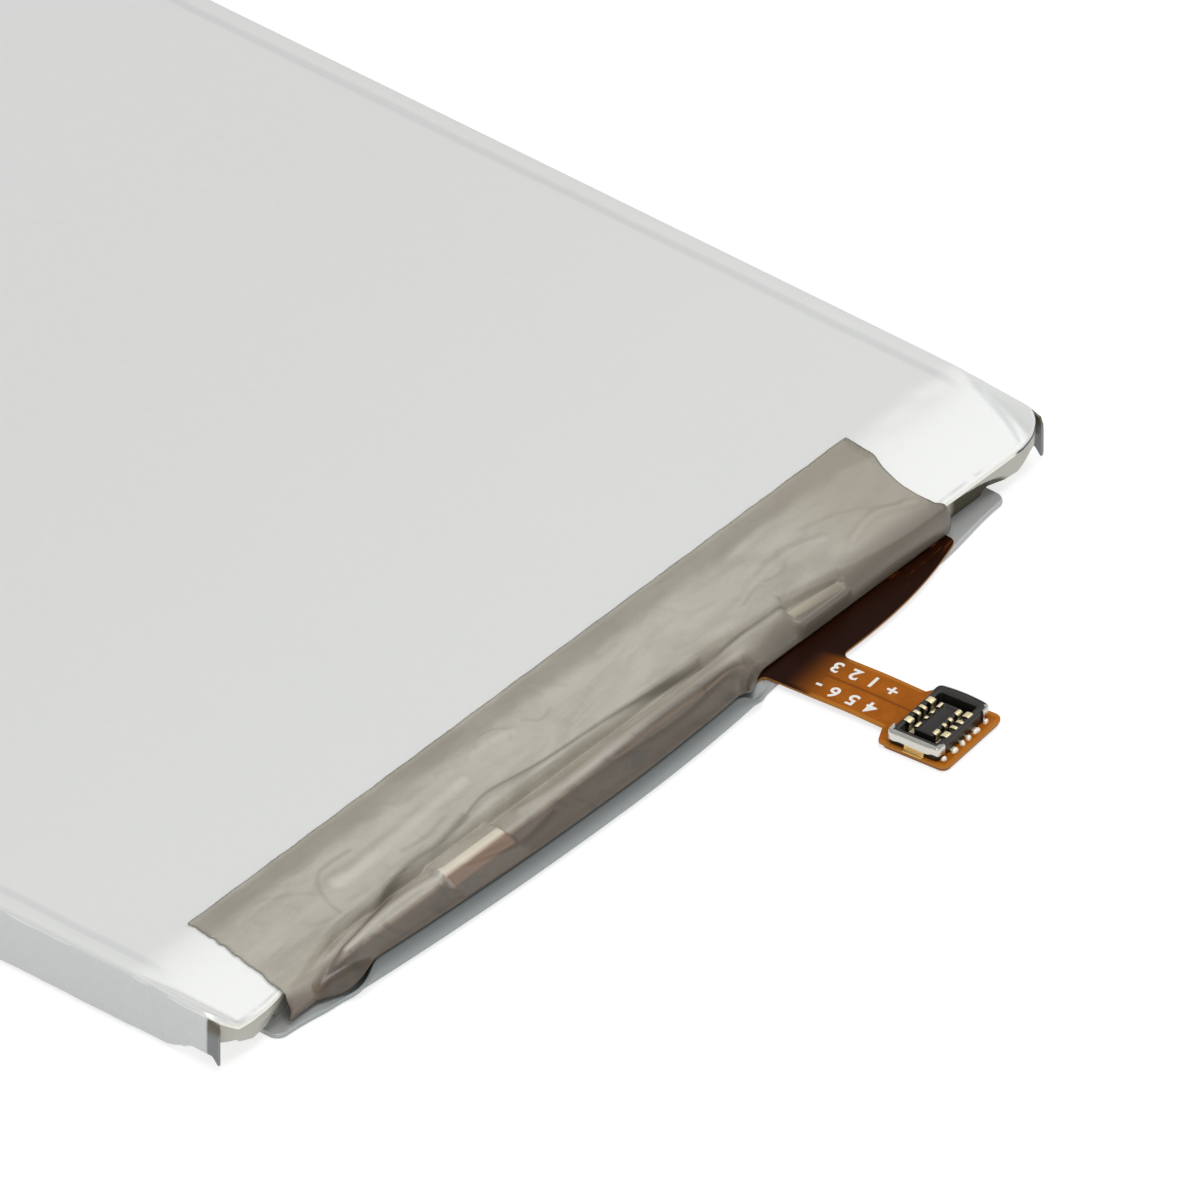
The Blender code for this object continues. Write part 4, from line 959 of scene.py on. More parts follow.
def rounded_rectangle(half_x, half_y, radius, height, steps=5, sides=8):
    """Points round a rounded rectangle at a height, with the same number on each corner and on each side."""
    arcs = []
    for turn, (right, far) in enumerate(((1, 1), (-1, 1), (-1, -1), (1, -1))):
        angles = np.radians(90 * (turn + np.arange(steps + 1) / steps))
        centre = (right * (half_x - radius), far * (half_y - radius))
        arcs.append(centre + radius * np.column_stack([np.cos(angles), np.sin(angles)]))
    points = []
    for arc, following in zip(arcs, arcs[1:] + arcs[:1]):
        points.extend(arc)
        points.extend(mix(arc[-1], following[0], step / sides) for step in range(1, sides))
    return np.column_stack([points, np.full(len(points), height)])


def joined(parts):
    """One set of points and faces from several."""
    points, faces, start = [], [], 0
    for part_points, part_faces in parts:
        points.append(part_points)
        faces += [tuple(index + start for index in face) for face in part_faces]
        start += len(part_points)
    return np.concatenate(points), faces


def housing_form():
    """The moulding: outer wall with eased edges, ring channel, and an island with a shallow tray."""
    x, y = HOUSING_HALF_LENGTH, HOUSING_HALF_DEPTH
    island_x, island_y = ISLAND_HALF_LENGTH, ISLAND_HALF_DEPTH
    swelling = [
        (x - 0.03, y - 0.03, 0.20, 0.0), (x, y, 0.22, 0.04), (x, y, 0.22, 0.50),
        (x - 0.02, y - 0.02, 0.21, 0.72), (x - 0.04, y - 0.04, 0.20, 0.77),
        (x - 0.09, y - 0.09, 0.18, HOUSING_HEIGHT), (x - 0.40, y - 0.34, 0.16, HOUSING_HEIGHT),
    ]
    straight = [
        (x - 0.44, y - 0.38, 0.14, 0.77), (x - 0.46, y - 0.40, 0.13, 0.70),
        (x - 0.48, y - 0.42, 0.12, CHANNEL_FLOOR), (island_x + 0.02, island_y + 0.02, 0.12, CHANNEL_FLOOR),
        (island_x, island_y, 0.11, 0.62),
        (island_x - 0.02, island_y - 0.02, 0.10, 0.68), (island_x - 0.06, island_y - 0.06, 0.09, 0.70),
        (island_x - 0.24, island_y - 0.24, 0.07, 0.70), (island_x - 0.27, island_y - 0.27, 0.06, 0.66),
        (island_x - 0.30, island_y - 0.30, 0.05, 0.655),
    ]
    rings = [rounded_rectangle(*ring) for ring in swelling + straight]
    for ring in rings[:len(swelling)]:
        ring[:, 0] += FAR_END_SWELL * (ring[:, 0] > island_x) * (1.0 - (ring[:, 1] / y) ** 2)
    return loft(rings)


RIBBON_SECTION = (
    (-1.0, -0.5), (-0.86, -1.0), (0.86, -1.0), (1.0, -0.5), (1.0, 0.5), (0.86, 1.0), (-0.86, 1.0), (-1.0, 0.5),
)


def ribbon(profile, width, thickness, centre_x, side, ease_ends=0.0):
    """A bent metal strip along a smoothed profile of (y, z), with eased edges."""
    line = smooth_path(profile, 5 * len(profile))
    rings = []
    for index, (place, (along_y, along_z)) in enumerate(zip(line, headings(line))):
        out = np.array((-along_z, along_y))
        narrow = 1.0 - ease_ends * (1.0 - ease(min(index, len(line) - 1 - index) / 3.0))
        ring = []
        for share_x, share_t in RIBBON_SECTION:
            y, z = place + out * (share_t * thickness / 2)
            ring.append((centre_x + share_x * width / 2 * narrow, side * y, z))
        rings.append(ring)
    points, faces = loft(rings)
    return points, faces if side > 0 else [face[::-1] for face in faces]


def contact_forms():
    """Each contact: over the wall's inner edge, down to the channel's floor and up again as a spring arm."""
    wall, island, outside = HOUSING_HALF_DEPTH - 0.42, ISLAND_HALF_DEPTH, HOUSING_HALF_DEPTH
    path = [(wall + 0.24, 0.80), (wall + 0.18, 0.835), (wall + 0.02, 0.835), (wall - 0.12, 0.80)]
    path += [(wall - 0.16, 0.70), (wall - 0.10, 0.45), (wall - 0.10, 0.22), (wall - 0.18, 0.185)]
    path += [(island + 0.16, 0.185), (island + 0.08, 0.22), (island + 0.05, 0.40)]
    path += [(island + 0.10, 0.56), (island + 0.09, 0.66), (island + 0.01, 0.735), (island - 0.14, 0.735)]
    tail = [(outside - 0.1, 0.07), (outside + 0.08, 0.06), (outside + 0.22, 0.045)]
    parts = []
    for side in (1, -1):
        for x, width in CONTACT_ROW:
            parts.append(ribbon(path, width, CONTACT_THICKNESS, x, side, 0.15))
            parts.append(ribbon(tail, width * 0.8, CONTACT_TAIL_THICKNESS, x, side))
    return joined(parts)


def mound(x, y, half_x, half_y, height, seed):
    """A small fillet of solder, uneven and a little different each time."""
    rings = []
    for share, rise in ((1.0, 0.0), (0.96, 0.35), (0.78, 0.72), (0.5, 0.93), (0.2, 1.0)):
        ring = []
        for step in range(14):
            angle = 2.0 * math.pi * step / 14
            wobble = 1.0 + 0.10 * math.sin(2.0 * angle + seed) + 0.06 * math.sin(3.0 * angle + 2.0 * seed)
            reach_x = half_x * share * wobble * math.copysign(abs(math.cos(angle)) ** 0.8, math.cos(angle))
            reach_y = half_y * share * wobble * math.copysign(abs(math.sin(angle)) ** 0.8, math.sin(angle))
            ring.append((x + reach_x, y + reach_y, height * rise - 0.03))
        rings.append(ring)
    return loft(rings)


def solder_forms():
    """Solder on every tail and at the hold-down bands' feet."""
    parts = []
    for side in (1, -1):
        for number, (x, width) in enumerate(CONTACT_ROW):
            place = (x, side * (HOUSING_HALF_DEPTH + 0.17))
            parts.append(mound(*place, width * 0.38 + 0.08, 0.17, 0.2, number + side))
        for end in (1, -1):
            spot = end * (HOUSING_HALF_LENGTH - 0.42)
            parts.append(mound(spot, side * (HOUSING_HALF_DEPTH + 0.13), 0.17, 0.14, 0.2, 2.0 * end + side))
    return joined(parts)


def band_form(end, rim_fold, corner_curl):
    """The bright metal band round one short end, folded over the rim, with an uneven foot."""
    x, y = HOUSING_HALF_LENGTH + 0.035, HOUSING_HALF_DEPTH + 0.035
    plan = [(x - 0.62, y), (x - 0.40, y), (x - 0.16, y - 0.02), (x - 0.02, y - 0.16)]
    plan += [(x, y - 0.45), (x, y - 0.9)]
    plan += [(px, -py) for px, py in reversed(plan)]
    line = smooth_path(plan, 60)
    along = headings(line)
    out = np.column_stack([along[:, 1], -along[:, 0]])
    out *= np.sign((out * line).sum(axis=1))[:, None]
    rings = []
    for index, (place, away) in enumerate(zip(line, out)):
        share = index / (len(line) - 1)
        wave = 0.5 + 0.5 * math.sin(share * 19.0 + 1.0) * math.sin(share * 7.0)
        low = 0.42 - 0.16 * wave - 0.22 * (1.0 - ease(min(share, 1.0 - share) / 0.12))
        curl = corner_curl * (1.0 - ease(abs(share - 0.80) / 0.10))
        fold = 0.04 + rim_fold * ease(min(share, 1.0 - share) / 0.10) + 0.16 * curl
        top = mix(0.80, 0.865, min(rim_fold / 0.17 + curl, 1.0))
        thick = 0.05 + 0.02 * wave
        profile = [(-0.02, low), (thick, low + 0.02), (thick + 0.01, 0.62), (thick, top - 0.06), (0.01, top)]
        profile += [(-fold, top - 0.01), (-fold, top - 0.06), (-0.02, top - 0.07)]
        swell = FAR_END_SWELL * (end > 0) * (1.0 - (place[1] / y) ** 2)
        ring = [(*(place + away * step), z) for step, z in profile]
        rings.append([(end * (px + swell), py, z) for px, py, z in ring])
    points, faces = loft(rings)
    return points, faces if end > 0 else [face[::-1] for face in faces]


def latch_form(end):
    """The pale gilt tab in the middle of one short end, from under the band down to the pad."""
    x = HOUSING_HALF_LENGTH
    profile = [(x + 0.03, 0.50), (x + 0.04, 0.30), (x + 0.06, 0.10), (x + 0.14, 0.03), (x + 0.26, 0.02)]
    points, faces = ribbon(profile, 1.25, 0.07, 0.0, 1)
    turned = np.column_stack([end * points[:, 1], points[:, 0] - 0.1, points[:, 2]])
    return turned, faces if end < 0 else [face[::-1] for face in faces]


def pouch_finish(colours):
    """Nylon-coated aluminium laminate: pale satin grey, with faint clouds, orange peel and rubbed places, and
    with painted shade on its end wall, undercut, fold and creases and a painted highlight along its brink.
    """
    finish = Finish("pouch_laminate", tuple(colours.pouch), 0.34, 0.25, coat_weight=0.15, coat_roughness=0.2)
    place, x, y, z = finish.place()
    clouds = finish.noise(place, 0.09, 4.0, 0.55)
    grain = finish.noise(finish.stretched(place, (1.0, 0.25, 1.0)), 6.0, 4.0, 0.6)
    rubbed = finish.noise(place, 0.7, 6.0, 0.7).ramp(0.58, 0.78)
    peel = finish.noise(place, 1.6, 2.0, 0.5)
    patchy = finish.noise(place, 0.8, 2.0).ramp(0.36, 0.60)
    wander = finish.noise(finish.stretched(place, (0.0, 0.12, 0.0)), 1.0, 2.0)
    beyond, fold = finish.attribute("beyond"), finish.attribute("fold")
    end = y.ramp(END + 2.2, END + 1.4)
    wall = beyond.ramp(0.0, 0.08) * end
    # The undercut beneath the brink beside the tape, where dark olive shade is painted and the finish turns
    # rougher and less metallic
    undercut_shade = wall * (hem_edge(z) - x).ramp(-0.45, 0.15) * x.ramp(26.2, 27.0)
    turned = x.ramp(31.5, 31.9)
    bright = beyond.band(-0.02, 0.06, 0.05) * end * (1.0 - turned)
    dark = beyond.band(-0.01, 0.055, 0.03) * end * turned * y.ramp(END + 1.8, END + 1.4)
    second = beyond.band(-0.33, 0.04, 0.10) * end * (1.0 - turned) * patchy
    crease = (RIGHT - abs(x) - wander * 0.25).band(SIDE_CREASE_INSET - 0.12, 0.12, 0.28)
    finish.layer((clouds - 0.5) * 0.5 + 0.45, 231, 231, 228)
    finish.layer((grain - 0.5) * 0.22 + 0.05, 196, 198, 196)
    finish.layer(y.ramp(0.0, -36.0) * 0.35, 236, 238, 236)
    # Painted shade on the end wall below its brink
    finish.layer(wall * 0.85, 172, 169, 156)
    # Painted shade, dark olive, in the undercut beneath the brink
    finish.layer(undercut_shade, 56, 50, 24)
    # Painted shade in patches along a fine crease just inside the brink
    finish.layer(second * 0.32, 150, 146, 140)
    # Painted shade, blue-grey, along the corner fold
    finish.layer(fold * 0.4, 170, 176, 184)
    # Painted highlight along the brink of the end wall
    finish.layer(bright * 0.8, 255, 253, 240)
    finish.layer(dark * 0.95, 34, 28, 25)
    # Painted shade along the side crease inside each long edge
    finish.layer(crease * y.ramp(END + 4.0, END + 6.5) * 0.30, 190, 192, 192)
    finish.set("Roughness", 0.30 + clouds * 0.06 + rubbed * 0.08 + grain * 0.05 + undercut_shade * 0.3)
    finish.set("Metallic", 0.25 - undercut_shade * 0.2 + rubbed * 0.04)
    finish.bump(peel * 0.6 + grain * 0.4, 0.10, 0.00012)
    return finish.material


def seal_finish(colours):
    """The pressed laminate of flange, lip and side seams, dark with painted shade on the lip's outside and at
    the seams' ends.
    """
    finish = Finish("pressed_seal", tuple(colours.seal), 0.34, 0.15, coat_weight=0.1, coat_roughness=0.2)
    place, x, y, z = finish.place()
    streaks = finish.noise(finish.stretched(place, (0.12, 1.0, 1.0)), 2.2, 4.0, 0.6)
    weave = finish.cells(place, 3.4)
    flange = y.ramp(END + 0.9, END + 0.3) * z.ramp(0.5, 0.35)
    lip = x.ramp(LIP_RIGHT + 1.0, LIP_RIGHT - 1.0) * y.ramp(END - 0.3, END - 0.8)
    flap = y.ramp(END + 1.05, END + 0.85) * abs(x).ramp(33.6, 33.9) * z.ramp(0.3, 0.45)
    finish.layer(streaks * 0.5, 196, 199, 198)
    finish.layer(flange * 0.9, 170, 172, 171)
    # Painted shade on the lip's outside, darkest at its top and lighter towards the floor
    finish.layer(lip * 0.85, 156, 163, 163)
    finish.layer(lip * z.ramp(0.1, 1.5) * 0.72, 66, 71, 71)
    # Painted shade on the seams' front ends, browner towards their top
    finish.layer(flap * 0.8, 88, 88, 92)
    finish.layer(flap * z.ramp(2.0, 2.7) * 0.85, 84, 76, 52)
    finish.set("Roughness", 0.27 + streaks * 0.12 + lip * 0.2)
    finish.set("Metallic", 0.15 - lip * 0.13)
    finish.bump(weave * 0.5 + streaks * 0.5, 0.12, 0.00008)
    return finish.material


def tape_finish(colours):
    """Thin translucent tape over dark parts: taupe, brown over the board and milky where it stands off, with
    painted shade in its creases and painted highlight on its crests.
    """
    finish = Finish("end_tape", tuple(colours.tape), 0.36, 0.0, coat_weight=0.35, coat_roughness=0.22)
    place, x, *_ = finish.place()
    reach, relief, line = (finish.attribute(name) for name in ("reach", "relief", "line"))
    smear = finish.noise(finish.stretched(place, (0.22, 0.8, 1.0)), 0.75, 5.0, 0.6, 0.6)
    blotch = finish.noise(place, 0.5, 4.0, 0.6, 1.2)
    fibre = finish.noise(finish.stretched(place, (0.5, 3.0, 1.0)), 5.0, 4.0, 0.65)
    speck = finish.noise(place, 9.0, 3.0, 0.6)
    pale = (177, 172, 159)

    # The tape itself, on the pouch's slope
    finish.colour = linear(153, 148, 134)
    finish.layer(smear.ramp(0.32, 0.68), *pale)
    finish.colour = finish.blend(blotch.ramp(0.45, 0.72) * 0.45, finish.colour, tuple(colours.tape))
    finish.layer(reach.ramp(-6.45, -6.1) * reach.ramp(-4.6, -5.5) * 0.55, 132, 126, 114)
    finish.layer(reach.ramp(-4.9, -3.9) * reach.ramp(-1.6, -2.8) * blotch.ramp(0.3, 0.6) * 0.45, *pale)

    # Painted shade in its creases and along its fine lines, and painted highlight on its crests
    valley = relief.ramp(-0.03, -0.12)
    finish.layer(valley * 0.4, 100, 94, 80)
    finish.layer(line * 0.68, 84, 78, 64)
    finish.layer(relief.ramp(0.04, 0.13) * 0.6, 204, 199, 190)

    # The dark board that shows through its front, and the parts that lift it
    under = (reach + x.ramp(-6.0, 3.0) * 0.35).ramp(-0.1, 0.42) * x.ramp(12.0, 7.0)
    glow = reach.band(0.22, 0.04, 0.16) * x.ramp(12.0, 7.0) * smear.ramp(0.3, 0.6)
    finish.layer(reach.band(-0.45, 0.2, 0.3) * x.ramp(14.0, 12.0) * 0.35, 140, 132, 116)
    finish.layer(under * 0.92, 66, 52, 36)
    finish.layer(glow * 0.35, 132, 102, 76)
    finish.layer(under * blotch.ramp(0.5, 0.65) * 0.6, 58, 54, 46)
    finish.layer(x.ramp(15.0, 23.5) * 0.7, 148, 140, 124)
    fuse_top = x.band(FUSE_X, FUSE_LENGTH / 2 - 0.05, 0.12) * reach.band(-0.06, 0.2, 0.15)
    slanted = reach - (x - GAUGE_X) * 0.1
    gauge_top = x.band(GAUGE_X, GAUGE_LENGTH / 2 - 0.05, 0.12) * slanted.band(-0.38, 0.28, 0.06)
    finish.layer(fuse_top.most(gauge_top) * 0.85, 218, 209, 188)
    finish.layer(x.band(FUSE_X, FUSE_LENGTH / 2, 0.25) * reach.band(0.5, 0.3, 0.2) * 0.5, 140, 106, 80)
    finish.layer(reach.ramp(-1.3, 0.2) * x.ramp(8.0, 12.0) * 0.8, 92, 84, 72)

    # Its cut edges and specks
    edge = x.ramp(24.6, 25.2).most(reach.ramp(-6.35, -6.48))
    finish.layer(edge * speck.ramp(0.35, 0.6) * 0.5, 96, 90, 80)
    finish.layer(speck.ramp(0.6, 0.75) * 0.18, 104, 92, 74)
    finish.set("Roughness", 0.28 + smear * 0.16 + valley * 0.1)
    finish.bump(fibre * 0.5 + smear * 0.7 + speck * 0.1, 0.12, 0.0002)
    return finish.material


def flex_finish(colours):
    """Polyimide over copper: near black with painted shade at its root, amber along the tail brightened by
    painted light shining through from the floor, brighter over the copper, with painted highlight on its cut
    edges.
    """
    finish = Finish("flexible_circuit", tuple(colours.flex), 0.36, 0.0, specular_ior_level=0.06)
    place, x, y, _ = finish.place()
    along = 0.0 - y
    clouds = finish.noise(place, 1.1, 3.0, 0.55)
    fine = finish.noise(place, 14.0, 3.0, 0.6)
    streaks = finish.noise(finish.stretched(place, (0.5, 3.0, 1.0)), 1.2, 2.0).ramp(0.56, 0.66)
    half, pad_half, pad_end = NECK_WIDTH / 2, PAD_WIDTH / 2, PAD_START + PAD_LENGTH
    neck, on_pad = along.ramp(3.0, 3.4), along.ramp(8.3, 8.7)
    edge = abs(x).ramp(half - 0.28, half - 0.18) * along.ramp(8.3, 7.9) * along.ramp(3.0, 3.6)
    gap = abs(x - 0.05).ramp(0.12, 0.07)
    copper = (1.0 - edge) * (1.0 - gap) * neck
    pad_sides = abs(x - PAD_OFFSET).ramp(pad_half - 0.3, pad_half - 0.2)
    pad_edge = pad_sides.most(along.ramp(pad_end - 0.3, pad_end - 0.2))
    # Painted shade makes the root near black; along the tail the film's own amber is brightened by painted
    # light shining through from the floor
    amber = (along - 1.4 - abs(x).ramp(1.4, 2.6) * 2.2).ramp(0.0, 3.0)
    glint = x.ramp(7.0, 12.0) * along.ramp(2.6, 1.2) * streaks
    finish.colour = finish.blend(amber, tuple(colours.flex_root_shade), tuple(colours.flex))
    finish.layer(copper * amber * clouds.ramp(0.3, 0.7) * 0.35, 190, 108, 27)
    finish.layer(gap * neck * (1.0 - on_pad) * 0.55, 112, 58, 14)
    finish.layer((edge * (1.0 - on_pad)).most(pad_edge * on_pad) * 0.5, 196, 128, 48)
    finish.layer(glint * 0.5, 176, 88, 20)
    # Painted highlight on the cut edges that stand upright
    finish.layer(finish.upright().ramp(0.4, 0.7) * 0.7, 188, 128, 60)
    finish.set("Roughness", 0.26 + clouds * 0.08)
    finish.bump(copper * 0.5 + fine * 0.1, 0.35, 0.00003)
    return finish.material


def plain_finish(name, colour, roughness, metallic=0.0, mottle=0.08, scale=4.0, shade=0.0, **sockets):
    """A finish of one colour with the unevenness of its making; shade darkens the faces that stand upright."""
    finish = Finish(name, colour, roughness, metallic, **sockets)
    place = finish.place()[0]
    cloud = finish.noise(place, scale, 4.0, 0.6)
    grain = finish.noise(place, scale * 7.0, 3.0, 0.6)
    dark, shadow = (tuple(channel * share for channel in colour) for share in (0.6, 0.12))
    uneven = finish.blend(cloud * mottle * 2.0, colour, dark)
    finish.set("Base Color", finish.blend(finish.upright().ramp(0.25, 0.7) * shade, uneven, shadow))
    finish.set("Roughness", roughness - 0.04 + cloud * 0.1)
    finish.bump(cloud * 0.4 + grain * 0.6, 0.25, 0.00004)
    return finish.material


class BatterySizes(bpy.types.PropertyGroup):
    crease_depth: bpy.props.FloatProperty(
        name="Side Crease",
        description="Depth of the crease that runs inside each long edge of the pouch",
        default=0.03 * MM, min=0.0, max=0.1 * MM, subtype="DISTANCE", unit="LENGTH",
    )
    tape_wrinkle: bpy.props.FloatProperty(
        name="Tape Wrinkles",
        description="How strongly the tape over the board is crumpled",
        default=1.0, min=0.0, max=1.5, subtype="FACTOR",
    )
    sign_height: bpy.props.FloatProperty(
        name="Sign Height",
        description="Height of the printed numbers on the flexible circuit",
        default=1.25 * MM, min=0.4 * MM, max=1.5 * MM, subtype="DISTANCE", unit="LENGTH",
    )


def colour_property(name, description, colour):
    return bpy.props.FloatVectorProperty(
        name=name, description=description, default=colour, min=0.0, max=1.0, size=3, subtype="COLOR"
    )


class BatteryColours(bpy.types.PropertyGroup):
    pouch: colour_property("Pouch", "Colour of the laminate pouch", linear(228, 230, 229))
    seal: colour_property("Seal", "Colour of the pressed flange, lip and seams", linear(216, 219, 219))
    tape: colour_property("Tape", "Colour of the tape over the board", linear(155, 149, 134))
    # The tail's amber holds painted light shining through from the floor, and the root's near black is painted
    # shade
    flex: colour_property("Flexible Circuit", "Colour of the tail", linear(154, 84, 15))
    flex_root_shade: colour_property("Circuit Root", "Colour of the tail where it leaves the tape", linear(34, 12, 3))
    housing: colour_property("Receptacle", "Colour of the receptacle's moulding", linear(27, 24, 21))
    gilt: colour_property("Gilt", "Colour of the contacts", linear(252, 236, 192))
    nickel: colour_property("Nickel", "Colour of the tabs and hold-down bands", linear(214, 212, 204))


class BATTERY_OT_stage(bpy.types.Operator):
    """Sets up the pale floor, the soft light and the camera"""

    bl_idname = "battery.stage"
    bl_label = "Stage"

    def execute(self, context):
        scene = context.scene
        scene.view_settings.view_transform = "Standard"
        right = Vector((math.cos(VIEW_AZIMUTH), math.sin(VIEW_AZIMUTH), 0.0))
        level, rise = math.cos(VIEW_ELEVATION), math.sin(VIEW_ELEVATION)
        back = Vector((math.sin(VIEW_AZIMUTH) * level, -math.cos(VIEW_AZIMUTH) * level, rise))
        camera = bpy.data.cameras.new("camera")
        camera.lens = SENSOR_WIDTH * VIEW_DISTANCE / VIEW_WIDTH
        camera.sensor_width = SENSOR_WIDTH
        camera.clip_start = 0.01
        holder = bpy.data.objects.new("camera", camera)
        place = Matrix((right, back.cross(right), back)).transposed().to_4x4()
        place.translation = VIEW_TARGET + back * VIEW_DISTANCE
        holder.matrix_world = place
        scene.collection.objects.link(holder)
        scene.camera = holder
        for lamp in LAMPS:
            self.lamp(scene, *lamp)
        self.world(scene)
        self.floor(scene)
        return {"FINISHED"}

    def lamp(self, scene, name, place, size, power):
        """A square softbox that faces the battery's terminal end."""
        light = bpy.data.lights.new(name, "AREA")
        light.size = size
        light.energy = power
        holder = bpy.data.objects.new(name, light)
        holder.location = place
        aim = VIEW_TARGET - Vector(place)
        holder.rotation_euler = aim.to_track_quat("-Z", "Y").to_euler()
        scene.collection.objects.link(holder)

    def world(self, scene):
        """A soft dome for the object, which the camera itself sees as white."""
        world = bpy.data.worlds.new("studio")
        world.use_nodes = True
        tree = world.node_tree
        tree.nodes.clear()
        out = tree.nodes.new("ShaderNodeOutputWorld")
        path = tree.nodes.new("ShaderNodeLightPath")
        choose = tree.nodes.new("ShaderNodeMixShader")
        tree.links.new(path.outputs["Is Camera Ray"], choose.inputs[0])
        for socket, strength in ((1, DOME_STRENGTH), (2, 1.0)):
            background = tree.nodes.new("ShaderNodeBackground")
            background.inputs[0].default_value = (1.0, 1.0, 1.0, 1.0)
            background.inputs[1].default_value = strength
            tree.links.new(background.outputs[0], choose.inputs[socket])
        tree.links.new(choose.outputs[0], out.inputs[0])
        scene.world = world

    def floor(self, scene):
        """A pale floor that renders white where no shadow falls on it."""
        bm = bmesh.new()
        bmesh.ops.create_grid(bm, x_segments=2, y_segments=2, size=FLOOR_SIZE)
        mesh = bpy.data.meshes.new("floor")
        bm.to_mesh(mesh)
        bm.free()
        finish = Finish("floor", (0.82, 0.82, 0.82), 0.9)
        path = finish.node("ShaderNodeLightPath")
        rays = (finish.value(path.outputs[f"Is {kind} Ray"]) for kind in ("Camera", "Glossy", "Transmission"))
        seen = next(rays).most(next(rays)).most(next(rays))
        glow = finish.node("ShaderNodeEmission", None, {"Color": (1.0, 1.0, 1.0, 1.0), "Strength": FLOOR_GLOW})
        choose = finish.node("ShaderNodeMixShader", None, {0: seen * FLOOR_GLOW_SHARE})
        finish.tree.links.new(finish.shader.outputs[0], choose.inputs[1])
        finish.tree.links.new(glow.outputs[0], choose.inputs[2])
        finish.tree.links.new(choose.outputs[0], finish.tree.nodes["Material Output"].inputs["Surface"])
        mesh.materials.append(finish.material)
        floor = bpy.data.objects.new("floor", mesh)
        floor.location.z = -FLOOR_DROP * MM
        scene.collection.objects.link(floor)


class BATTERY_OT_pouch(bpy.types.Operator):
    """Builds the laminate pouch with its flange, lip and side seams"""

    bl_idname = "battery.pouch"
    bl_label = "Pouch"

    def execute(self, context):
        sizes, colours = context.scene.battery_sizes, context.scene.battery_colours
        laminate, seal = pouch_finish(colours), seal_finish(colours)
        points, faces, paints = pouch_grid(sizes)
        body = add_piece("pouch_body", points, faces, laminate, "pouch", ["pouch_cell"], math.radians(40))
        for name, values in paints.items():
            paint(body.data, name, values)
        add_piece("flange_and_lip", *loft([flange_section(x) for x in flange_stations()]), seal, "pouch")
        for name, side in (("seam_right", 1), ("seam_left", -1)):
            add_piece(name, *loft([seam_section(y, side) for y in seam_stations()]), seal, "pouch")
        return {"FINISHED"}


class BATTERY_OT_tape(bpy.types.Operator):
    """Lays the crumpled tape over the board and the end of the pouch"""

    bl_idname = "battery.tape"
    bl_label = "Tape"

    def execute(self, context):
        sizes, colours = context.scene.battery_sizes, context.scene.battery_colours
        points, faces, paints = tape_sheet(sizes)
        finish = tape_finish(colours)
        tape = add_piece("crumpled_tape", points, faces, finish, "tape", ["end_tape"], math.radians(60))
        for name, values in paints.items():
            paint(tape.data, name, values)
        solid = tape.modifiers.new("thickness", "SOLIDIFY")
        solid.thickness = TAPE_THICKNESS * MM
        solid.offset = 1.0
        return {"FINISHED"}


class BATTERY_OT_tail(bpy.types.Operator):
    """Builds the flexible circuit, its stiffener and its printed signs"""

    bl_idname = "battery.tail"
    bl_label = "Tail"

    def execute(self, context):
        sizes, colours = context.scene.battery_sizes, context.scene.battery_colours
        add_mesh("flex_tail", flex_mesh(), flex_finish(colours), ["flex_circuit"], matrix=TAIL_FRAME)
        stiff = plain_finish("stiffener", linear(150, 92, 40), 0.5, mottle=0.2)
        add_mesh("stiffener_plate", stiffener_mesh(), stiff, ["flex_stiffener"], matrix=TAIL_FRAME)
        white = plain_finish("silk_print", linear(238, 236, 230), 0.55, mottle=0.06, scale=12.0)
        add_mesh("printed_signs", silk_mesh(sizes), white, matrix=TAIL_FRAME)
        return {"FINISHED"}


class BATTERY_OT_receptacle(bpy.types.Operator):
    """Builds the receptacle: moulding, gilt contacts, hold-down bands and solder"""

    bl_idname = "battery.receptacle"
    bl_label = "Receptacle"

    def execute(self, context):
        colours = context.scene.battery_colours
        moulding = plain_finish("receptacle_moulding", tuple(colours.housing), 0.34, mottle=0.2, scale=5.0)
        gilt = plain_finish("gilt_contacts", tuple(colours.gilt), 0.3, 0.65, mottle=0.12, scale=6.0, shade=0.85)
        bright = plain_finish("bright_tin", tuple(colours.nickel), 0.2, 1.0, mottle=0.15, scale=5.0)
        latch = plain_finish("latch_gilt", linear(222, 184, 116), 0.3, 0.8, mottle=0.2, scale=4.0)
        solder = plain_finish("solder", linear(255, 248, 232), 0.3, 0.25, mottle=0.1, scale=7.0)
        contacts = [f"{kind}_contact_{number}" for kind in ("power", "signal") for number in range(1, 5)]
        self.piece("receptacle_housing", housing_form(), moulding, "receptacle", ["connector_housing"])
        self.piece("gilt_contact_rows", contact_forms(), gilt, "gilt", contacts)
        self.piece("solder_fillets", solder_forms(), solder, "nickel")
        bands = joined([band_form(1, 0.0, 1.0), band_form(-1, 0.17, 0.0)])
        self.piece("hold_down_bands", bands, bright, "nickel", ["hold_down_near", "hold_down_far"])
        self.piece("latch_tabs", joined([latch_form(1), latch_form(-1)]), latch, "gilt")
        return {"FINISHED"}

    def piece(self, name, form, finish, slot, nodes=()):
        points, faces = form
        add_piece(name, points * MM, faces, finish, slot, nodes, math.radians(50), HOUSING_FRAME)


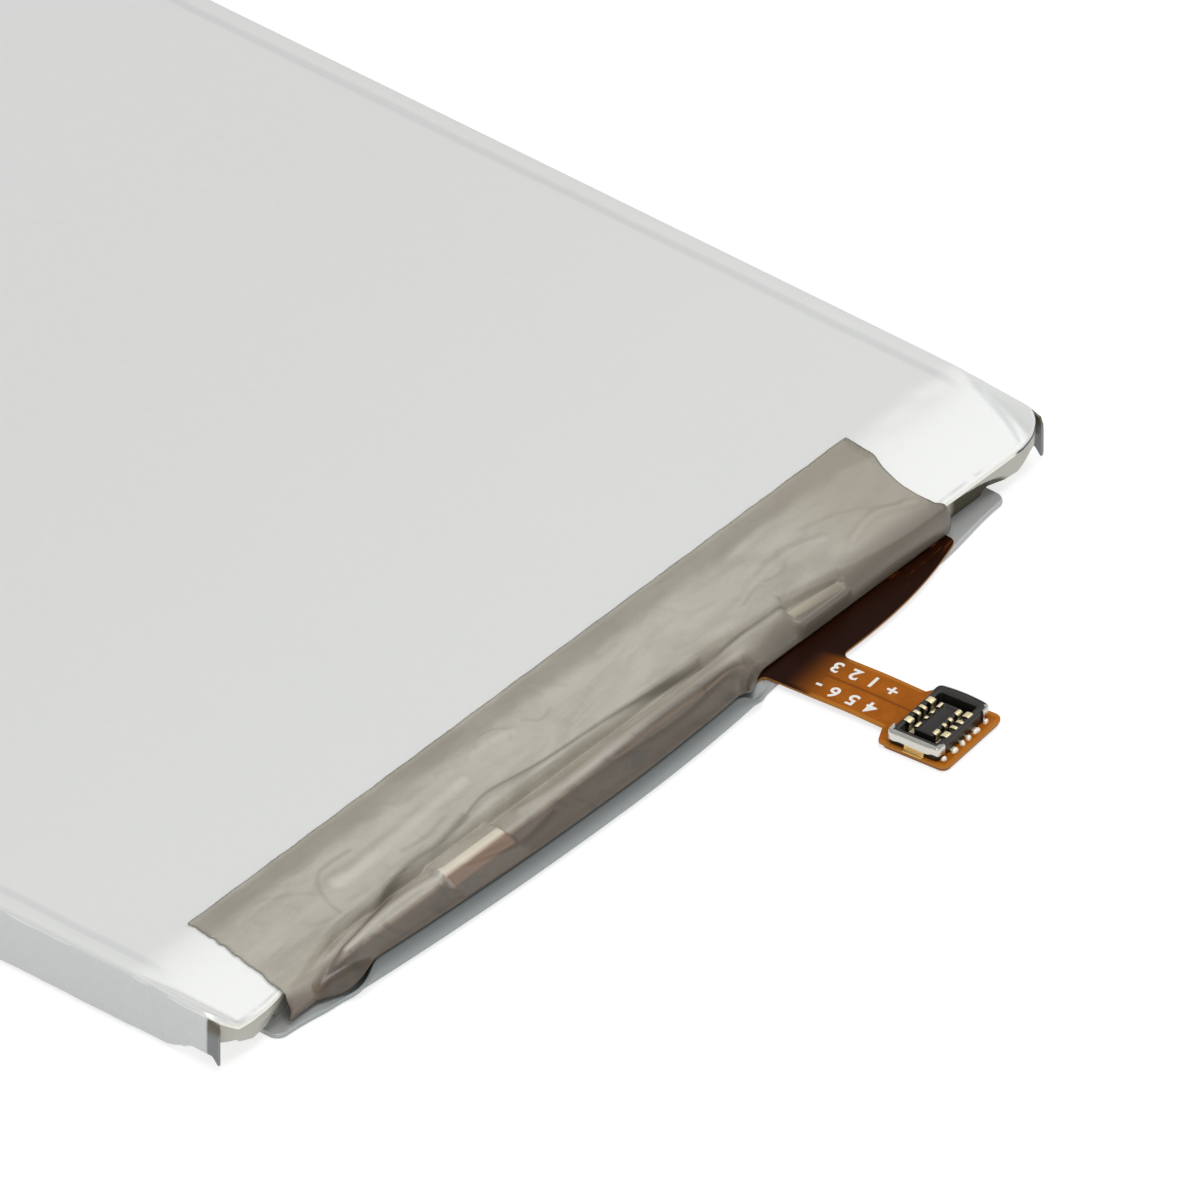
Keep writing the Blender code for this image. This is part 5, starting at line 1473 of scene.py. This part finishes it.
class BATTERY_OT_board(bpy.types.Operator):
    """Finishes the board, its parts and the cell's tabs under the tape"""

    bl_idname = "battery.board"
    bl_label = "Board"

    def execute(self, context):
        colours = context.scene.battery_colours
        nickel = plain_finish("nickel", tuple(colours.nickel), 0.32, 1.0, scale=3.0)
        moulding = plain_finish("moulding", linear(34, 34, 36), 0.55)
        chip = plain_finish("chip", linear(150, 126, 98), 0.5, mottle=0.3, scale=2.0)
        film = plain_finish("sealing_film", linear(226, 220, 204), 0.4)
        board = plain_finish("board", linear(38, 74, 48), 0.4, mottle=0.3, scale=1.5, coat_weight=0.4)
        finishes = {
            nickel: ("positive_tab", "negative_tab", "positive_weld_plate", "negative_weld_plate"),
            moulding: ("thermal_fuse", "gauge_ic", "protection_ic", "mosfet_left", "mosfet_right"),
            chip: ("sense_resistor", "gate_resistor", "filter_capacitor", "supply_capacitor", "thermistor"),
            film: ("positive_tab_film", "negative_tab_film", "board_insulation"),
            board: ("protection_board",),
        }
        for finish, nodes in finishes.items():
            for node in nodes:
                node_object = bpy.data.objects[node]
                node_object.data.materials.clear()
                node_object.data.materials.append(finish)
        return {"FINISHED"}


class BATTERY_PT_panel(bpy.types.Panel):
    """Lists the battery's sizes, colours and pieces"""

    bl_idname = "BATTERY_PT_panel"
    bl_label = "Pouch Battery"
    bl_space_type = "VIEW_3D"
    bl_region_type = "UI"
    bl_category = "Battery"

    def draw(self, context):
        for group in (context.scene.battery_sizes, context.scene.battery_colours):
            box = self.layout.box()
            for name in group.__annotations__:
                box.prop(group, name)
        for operator in OPERATORS:
            self.layout.operator(operator.bl_idname)


OPERATORS = (
    BATTERY_OT_stage, BATTERY_OT_pouch, BATTERY_OT_board,
    BATTERY_OT_tail, BATTERY_OT_receptacle, BATTERY_OT_tape,
)
CLASSES = (BatterySizes, BatteryColours, *OPERATORS, BATTERY_PT_panel)


def register():
    for cls in CLASSES:
        bpy.utils.register_class(cls)
    bpy.types.Scene.battery_sizes = bpy.props.PointerProperty(type=BatterySizes)
    bpy.types.Scene.battery_colours = bpy.props.PointerProperty(type=BatteryColours)


def unregister():
    del bpy.types.Scene.battery_colours
    del bpy.types.Scene.battery_sizes
    for cls in reversed(CLASSES):
        bpy.utils.unregister_class(cls)


def main():
    register()
    for operator in OPERATORS:
        family, name = operator.bl_idname.split(".")
        getattr(getattr(bpy.ops, family), name)()


if __name__ == "__main__":
    main()
